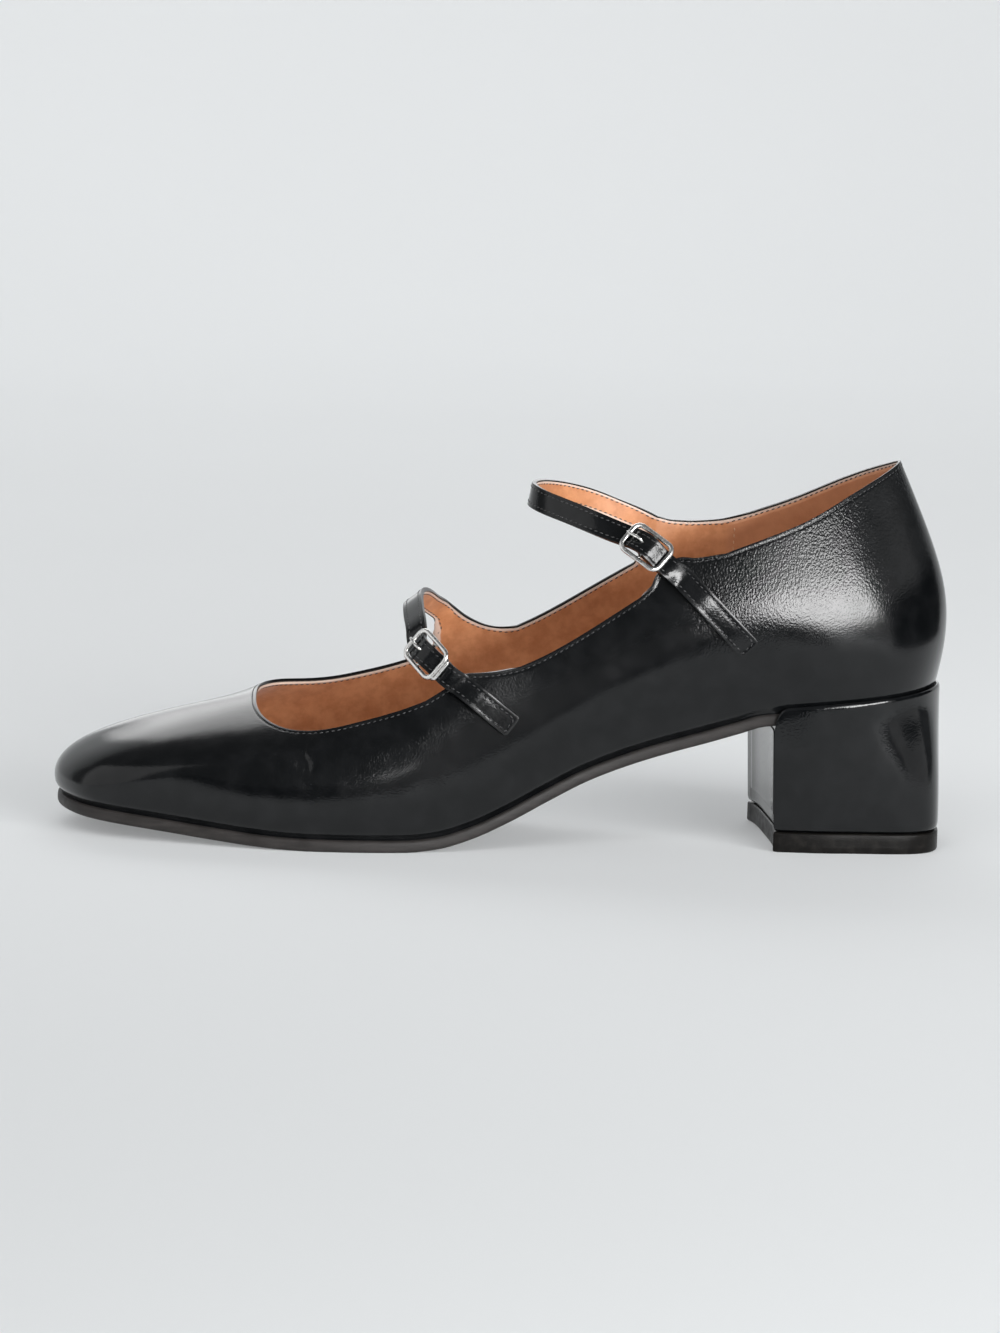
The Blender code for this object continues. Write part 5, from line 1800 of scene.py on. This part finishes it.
    def build_panel(self) -> None:
        """Cover of the hollow front face, a separate leather let in between the sides."""
        levels, rows, columns = self.panel_grid
        base = np.linspace(0, 1, levels)
        rings = [self.body_ring(float(share), self.outer, 0.0) for share in base]
        grid = np.array([np.vstack([ring[-self.breast_points - 1:], ring[:1]]) for ring in rings])
        keep = self.panel_edge / np.linalg.norm(grid[0, -1] - grid[0, 0])
        t = np.linspace(keep, 1 - keep, columns)
        even = np.linspace(0, 1, grid.shape[1])
        shares = np.linspace(self.panel_foot / self.panel_height, self.panel_top, rows)
        across = np.array([resample(t, even, row) for row in grid])
        panel = np.stack([resample(shares, base, across[:, i]) for i in range(columns)], axis=1)
        panel[..., 0] -= self.panel_lift
        faces, points = grid_faces(rows, columns), panel.reshape(-1, 3)
        piece = mesh_object("breast_panel", points, faces, self.leather)
        if surface_normals(points, faces)[:, 0].mean() > 0:
            piece.data.flip_normals()
        set_even(piece, wrinkled=0.3, rubbed=0.0)
        add_wall(piece, self.panel_wall)
        add_bevel(piece, self.panel_round)
        dress(piece, "black_leather")

    def build_lift(self) -> None:
        """Rubber top lift with softly rounded edges."""
        outer = self.outer + self.lift_over
        rings = [self.level_ring(inset, height, outer, self.lift_corner)
                 for inset, height in self.lift_profile]
        piece = stack("top_lift", rings, self.rubber)
        dress(piece, "heel_tip", "heel_tip")


def stack(name: str, rings: Sequence[Array], material: Finish) -> Piece:
    """Closed body from a stack of rings, its caps drawn together by smaller rings."""
    size = len(rings[0])
    caps = [[ring.mean(axis=0) + (ring - ring.mean(axis=0)) * share for share in CAP_SHARES]
            for ring in (rings[0], rings[-1])]
    points = [*reversed(caps[0]), *rings, *caps[1]]
    low, high = points[0].mean(axis=0), points[-1].mean(axis=0)
    count = len(points)
    flat = np.vstack([*points, low, high])
    faces = grid_faces(count, size, closed=True)
    last = (count - 1) * size
    for i in range(size):
        j = (i + 1) % size
        faces += [(j, i, count * size), (last + i, last + j, count * size + 1)]
    piece = mesh_object(name, flat, faces, material)
    outwards(piece)
    return piece


# --- buckles


@dataclass
class Buckle:
    """Small nickel frame with a centre bar, its pin, and the chape that holds it."""

    strap: StrapForm
    metal: Finish
    leather: Finish
    width: float = 10.5
    corner: float = 2.2
    keeper: bool = False
    pin_radius: float = 0.42
    pin_place: float = -1.8
    chape_width: float = 5.6
    wire_sides: int = 14
    wire_squash: float = 0.92
    bar_rows: int = 9
    bar_end: float = -0.2
    keeper_reach: float = 0.95
    keeper_spread: float = 0.8
    keeper_drop: float = 0.8
    keeper_radius: float = 0.45
    pin_rows: int = 26
    pin_tip: float = 0.93
    chape_rows: int = 70
    chape_thin: float = 0.35

    def outline(self, reach: Row, corner: float, steps: int = 9) -> Array:
        """Rounded rectangle in the buckle's own plane, anticlockwise."""
        points = []
        for quarter, signs in enumerate(((1, 1), (-1, 1), (-1, -1), (1, -1))):
            middle = (np.array(reach) - corner) * signs
            for turn in np.linspace(0, math.pi / 2, steps):
                angle = turn + quarter * math.pi / 2
                points.append([middle[0] + corner * math.cos(angle),
                               middle[1] + corner * math.sin(angle), 0.0])
        return np.array(points)

    def wire(self, name: str, local: Array, radius: Array | float, closed: bool,
             squash: float = 1.0) -> Piece:
        """Round wire along points given in the buckle's own axes."""
        line = self.strap.seat.place(local)
        ahead = np.roll(line, -1, axis=0) - np.roll(line, 1, axis=0)
        if not closed:
            ahead[0], ahead[-1] = line[1] - line[0], line[-1] - line[-2]
        ahead = unit(ahead)
        face = self.strap.seat.axes()[2 if abs(local[:, 2]).max() < 0.9 else 1]
        side = unit(np.cross(face, ahead))
        out = np.cross(ahead, side)
        radii = np.broadcast_to(np.asarray(radius, float), (len(line),))
        shape = circle(1.0, self.wire_sides, squash)[None] * radii[:, None, None]
        return sweep(name, line, side, out, shape, self.metal, closed)

    def build(self) -> None:
        """Make the frame with its bar, the pin and the chape."""
        strap = self.strap
        reach = (np.array([strap.buckle_length, self.width]) - BUCKLE_WIRE) / 2
        frame = self.wire("buckle_frame_" + strap.name, self.outline(reach, self.corner),
                          BUCKLE_WIRE / 2, True, self.wire_squash)
        across = np.linspace(-1, 1, self.bar_rows) * reach[1]
        bar = np.column_stack([0 * across, across, 0 * across - strap.bar_drop])
        bar[[0, -1], 2] = self.bar_end
        parts = [frame, self.wire("bar", bar, strap.bar_radius, False)]
        if self.keeper:
            out = reach[0] + BUCKLE_WIRE * self.keeper_reach
            ends = reach[1] * np.linspace(-self.keeper_spread, self.keeper_spread, self.bar_rows)
            rail = np.column_stack([0 * ends + out, ends, 0 * ends])
            rail[[0, -1], 0] -= self.keeper_drop
            parts.append(self.wire("keeper", rail, self.keeper_radius, False))
        dress(join(parts), "buckle_metal", "buckle_" + strap.name)
        self.build_pin()
        self.build_chape()

    def build_pin(self) -> None:
        """Pin from the bar up through the strap's hole, lying on the frame's entry side."""
        strap = self.strap
        top = -strap.bar_drop + strap.bar_radius + GAP + STRAP_THICKNESS
        over = top + self.pin_radius + 0.05
        end = -(strap.buckle_length - BUCKLE_WIRE) / 2 - BUCKLE_WIRE / 2
        on_frame = BUCKLE_WIRE / 2 + self.pin_radius
        knots = np.array((
            (self.pin_place + 0.9, 0.0, -strap.bar_drop - 0.2),
            (self.pin_place + 0.45, 0.0, 0.35),
            (self.pin_place, 0.0, over - 0.5),
            (self.pin_place - 0.7, 0.0, over),
            (end * 0.62, 0.0, (over + on_frame) / 2 + 0.1),
            (end, 0.0, on_frame),
        ))
        steps = lengths(knots)
        share = np.linspace(0, 1, self.pin_rows)
        fine = Spline(steps, knots)(np.linspace(0, steps[-1], self.pin_rows))
        tip = np.maximum(share - self.pin_tip, 0) / 0.075
        radius = self.pin_radius * np.sqrt(np.maximum(1 - tip**2, 0))
        pin = self.wire("buckle_pin_" + strap.name, fine, radius, False)
        dress(pin, "buckle_metal", "pin_" + strap.name)

    def build_chape(self) -> None:
        """Short leather loop round the bar, ending between the strap and the quarter."""
        strap = self.strap
        seat = strap.seat
        thin = self.chape_thin
        loop = strap.bar_radius + thin / 2 + 0.03
        rows = [seat.row(along, -strap.bar_drop + loop * up) for along, up in (
            (0.9, 0.9), (0.0, 1.0), (-loop * 0.8, 0.6), (-loop, 0.0), (-loop * 0.75, -0.66),
            (0.3, -1.05))]
        first = strap.marks[len(strap.arc) + 4]
        under = (STRAP_THICKNESS + strap.chape_thickness) / 2 + strap.chape_gap
        last = strap.marks[len(strap.arc) + 9]
        for place in np.linspace(first, last, 8):
            centre, _, across, out = strap.frame(place)
            rows.append([*(centre - out * under), *across])
        table = np.array(rows)
        knots = lengths(table[:, :3])
        places = np.linspace(0, knots[-1], self.chape_rows)
        line = Spline(knots, table)(places)
        ahead = unit(np.gradient(line[:, :3], axis=0))
        side = square_to(line[:, 3:], ahead)
        thick = thin + (strap.chape_thickness - thin) * ease(places, 4.0, 8.0)
        half = self.chape_width / 2
        section = np.array(((-half, -0.42), (half, -0.42), (half + 0.06, 0.0), (half, 0.42),
                            (0.0, 0.5), (-half, 0.42), (-half - 0.06, 0.0)))
        shape = np.broadcast_to(section, (self.chape_rows, *section.shape)).copy()
        shape[..., 1] *= thick[:, None]
        piece = sweep("chape_leather_" + strap.name, line[:, :3], side, np.cross(ahead, side),
                      shape, self.leather, False)
        set_even(piece, wrinkled=0.5, rubbed=0.0)
        add_bevel(piece, 0.1, 2)
        dress(piece, "strap_leather", "chape_" + strap.name)


def join(pieces: Sequence[Piece]) -> Piece:
    """Put several meshes into the first one."""
    work = bmesh.new()
    for piece in pieces:
        work.from_mesh(piece.data)
    first = pieces[0]
    work.to_mesh(first.data)
    work.free()
    first.data.shade_smooth()
    for piece in pieces[1:]:
        bpy.data.objects.remove(piece)
    return first


# --- studio


@dataclass
class Studio:
    """Pale seamless floor, soft lights and the camera."""

    paper: Finish
    black: Finish
    distance: float = 1.3
    target: Row = (0.0, 0.0, 0.0471)
    azimuth: float = -3.0
    elevation: float = 8.2
    roll: float = 1.6
    lens: float = 165.7
    half_width: float = 4.0
    floor_front: float = -3.0
    floor_back: float = 1.7
    sweep_radius: float = 0.8
    wall_height: float = 3.2
    room_colour: Row = (0.95, 0.98, 1.0, 1.0)
    room_strength: float = 0.12

    def build_floor(self) -> None:
        """Floor that curves up behind the shoe into a backdrop."""
        rows = [(self.floor_front, 0.0), (-1.0, 0.0), (0.0, 0.0), (1.0, 0.0)]
        for turn in np.linspace(0, math.pi / 2, 25):
            rows.append((self.floor_back + self.sweep_radius * math.sin(turn),
                         self.sweep_radius * (1 - math.cos(turn))))
        rows.append((self.floor_back + self.sweep_radius, self.wall_height))
        points = [(x, y, z) for y, z in rows for x in (-self.half_width, self.half_width)]
        faces = [(2 * i, 2 * i + 1, 2 * i + 3, 2 * i + 2) for i in range(len(rows) - 1)]
        floor = mesh_object("studio_floor", np.array(points) / MM, faces, self.paper)

    def flag(self, name: str, start: Row, end: Row, height: float) -> None:
        """Black card that only reflections show, upright over the line between two points."""
        rise = Vector((0.0, 0.0, height))
        corners = [Vector(start), Vector(end), Vector(end) + rise, Vector(start) + rise]
        card = mesh_object(name, np.array(corners) / MM, [(0, 1, 2, 3)], self.black)
        card.visible_camera = card.visible_diffuse = card.visible_shadow = False

    def light(self, name: str, place: Row, aim: Row, size: Pair,
              power: float, reflected: bool = True, roll: float = 0.0,
              lit: bool = True) -> None:
        """One soft rectangular light.

        Args:
            name: its name.
            place: where it stands, in metres.
            aim: the point that it faces.
            size: its width and height.
            power: its power in watts.
            reflected: whether glossy surfaces mirror it.
            roll: its turn about its own axis, in degrees.
            lit: whether it lights matt surfaces.
        """
        lamp = bpy.data.lights.new(name, "AREA")
        lamp.shape = "RECTANGLE"
        lamp.size, lamp.size_y = size
        lamp.energy = power
        holder = link_object(name, lamp)
        holder.location = place
        direction = Vector(aim) - Vector(place)
        turn = Quaternion((0.0, 0.0, 1.0), math.radians(roll))
        holder.rotation_euler = (direction.to_track_quat("-Z", "Y") @ turn).to_euler()
        holder.visible_camera = False
        holder.visible_glossy = reflected
        holder.visible_diffuse = lit

    def build_lights(self) -> None:
        """Softboxes, a fill that leaves no reflection, and black flags, in a dim room."""
        self.light("key", (0.735, -1.3, 0.3), (0.08, -0.03, 0.06), (1.24, 0.38), 28.0, True, 24.0)
        self.light("key_top", (0.485, -1.356, 0.483), (0.08, -0.03, 0.06), (0.46, 0.62), 3.5, True,
                   25.0)
        self.light("rear", (0.0, 2.35, 1.4), (0.0, 0.0, 0.0), (1.8, 2.1), 24.0)
        self.light("horizon", (-0.05, 1.74, 0.52), (-0.05, 0.0, 0.04), (0.8, 0.66), 1.9, lit=False)
        self.light("toe_side", (-2.0, -0.7, 0.95), (-0.05, 0.0, 0.03), (2.8, 2.2), 13.0)
        self.light("heel_side", (1.9, -0.7, 0.5), (0.1, 0.0, 0.04), (2.0, 1.1), 3.3, lit=False)
        self.light("fill", (-0.6, -2.3, 2.3), (0.0, 0.0, 0.05), (2.2, 2.2), 30.0, False)
        self.flag("toe_flag", (-0.16, -0.2, 0.0), (0.0, -0.2, 0.0), 0.04)
        self.flag("waist_flag", (0.0, -0.2, 0.0), (0.082, -0.2, 0.0), 0.085)
        self.flag("side_flag", (0.082, -0.2, 0.02), (0.14, -0.2, 0.02), 0.036)
        self.flag("back_flag", (0.2, -0.08, 0.048), (0.2, 0.05, 0.048), 0.052)
        world = bpy.data.worlds.new("studio")
        bpy.context.scene.world = world
        world.use_nodes = True
        fill(world.node_tree.nodes["Background"], {"Color": self.room_colour,
                                                   "Strength": self.room_strength})

    def build_camera(self) -> None:
        """Camera level with the shoe's side, a little above it and turned to its toe."""
        turn, lift, roll = (math.radians(a) for a in (self.azimuth, self.elevation, self.roll))
        ahead = Vector((-math.sin(turn) * math.cos(lift), math.cos(turn) * math.cos(lift),
                        -math.sin(lift)))
        level = ahead.cross(Vector((0, 0, 1))).normalized()
        upright = level.cross(ahead)
        right = level * math.cos(roll) + upright * math.sin(roll)
        up = upright * math.cos(roll) - level * math.sin(roll)
        place = Vector(self.target) - ahead * self.distance
        data = bpy.data.cameras.new("camera")
        data.lens = self.lens
        data.sensor_width = 36.0
        data.sensor_fit = "HORIZONTAL"
        data.clip_end = 50.0
        camera = link_object("camera", data)
        camera.matrix_world = Matrix((
            (right.x, up.x, -ahead.x, place.x),
            (right.y, up.y, -ahead.y, place.y),
            (right.z, up.z, -ahead.z, place.z),
            (0.0, 0.0, 0.0, 1.0),
        ))
        bpy.context.scene.camera = camera

    def build(self) -> None:
        """Set up the whole studio."""
        self.build_camera()
        self.build_floor()
        self.build_lights()
        bpy.context.scene.view_settings.view_transform = "Standard"


# --- the whole shoe


def lateral_wall() -> LateralWall:
    """Outside of the lateral wall, closely spaced."""
    columns = [FORM.column(s) for s in np.linspace(-BACK_STATION, 0.0, 260)]
    return LateralWall(np.vstack(columns), grid_faces(len(columns), len(columns[0])))


def flag_cloth() -> Finish:
    """Dull black cloth of the studio's flags."""
    s = Shades("flag_cloth")
    s.set(Base_Color=s.mix(s.noise(20.0), (0.002, 0.002, 0.002, 1.0), (0.004, 0.004, 0.004, 1.0)))
    s.set(Roughness=1.0, Specular_IOR_Level=0.0)
    return s.material


def main() -> None:
    """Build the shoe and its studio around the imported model."""
    logging.basicConfig(level=logging.INFO, format="%(name)s %(message)s")
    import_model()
    calf = BlackLeather().make()
    smooth_calf = BlackLeather(name="smooth_calf", roughness=(0.06, 0.09)).make()
    tan = TanLining().make()
    # Painted highlight in part: the black thread's pale strands stand in for glints on the stitch rows.
    black_thread = Thread("black_thread", srgb(22, 22, 23), srgb(78, 78, 79), 0.38).make()
    tan_thread = Thread("tan_thread", srgb(196, 150, 112), srgb(226, 190, 158)).make()
    nickel = BuckleNickel().make()
    Studio(StudioPaper().make(), flag_cloth()).build()
    wall = lateral_wall()
    straps = [StrapForm(name, FORM.stands[name + "_root"], arc, seat, tail, wall)
              for name, arc, seat, tail in (("front", FRONT_ARC, FRONT_SEAT, FRONT_TAIL),
                                            ("rear", REAR_ARC, REAR_SEAT, REAR_TAIL))]
    skin = Skin(straps)
    outer = UpperLeather(skin, calf).build()
    lining = Lining(skin, tan)
    inner_face = lining.build()
    for name, face, slot in (("upper_stitches", outer, "black_leather"),
                             ("lining_stitches", inner_face, "tan_lining")):
        stitches = Stitching(name, black_thread)
        stitches.add(*skin.stitch_line(STITCH_BELOW, face), True)
        stitches.build(slot)
    stitches = Stitching("grip_stitches", tan_thread, 1.3, 1.9, 0.2)
    for points, outward in lining.seams(inner_face):
        stitches.add(points, outward, False, 0.03)
    stitches.build("tan_lining")
    Outsole(SoleLeather().make()).build()
    Sock(tan, tan_thread).build()
    Heel(smooth_calf, TipRubber().make()).build()
    for strap in straps:
        Buckle(strap, nickel, smooth_calf, keeper=strap.name == "front").build()


if __name__ == "__main__":
    main()
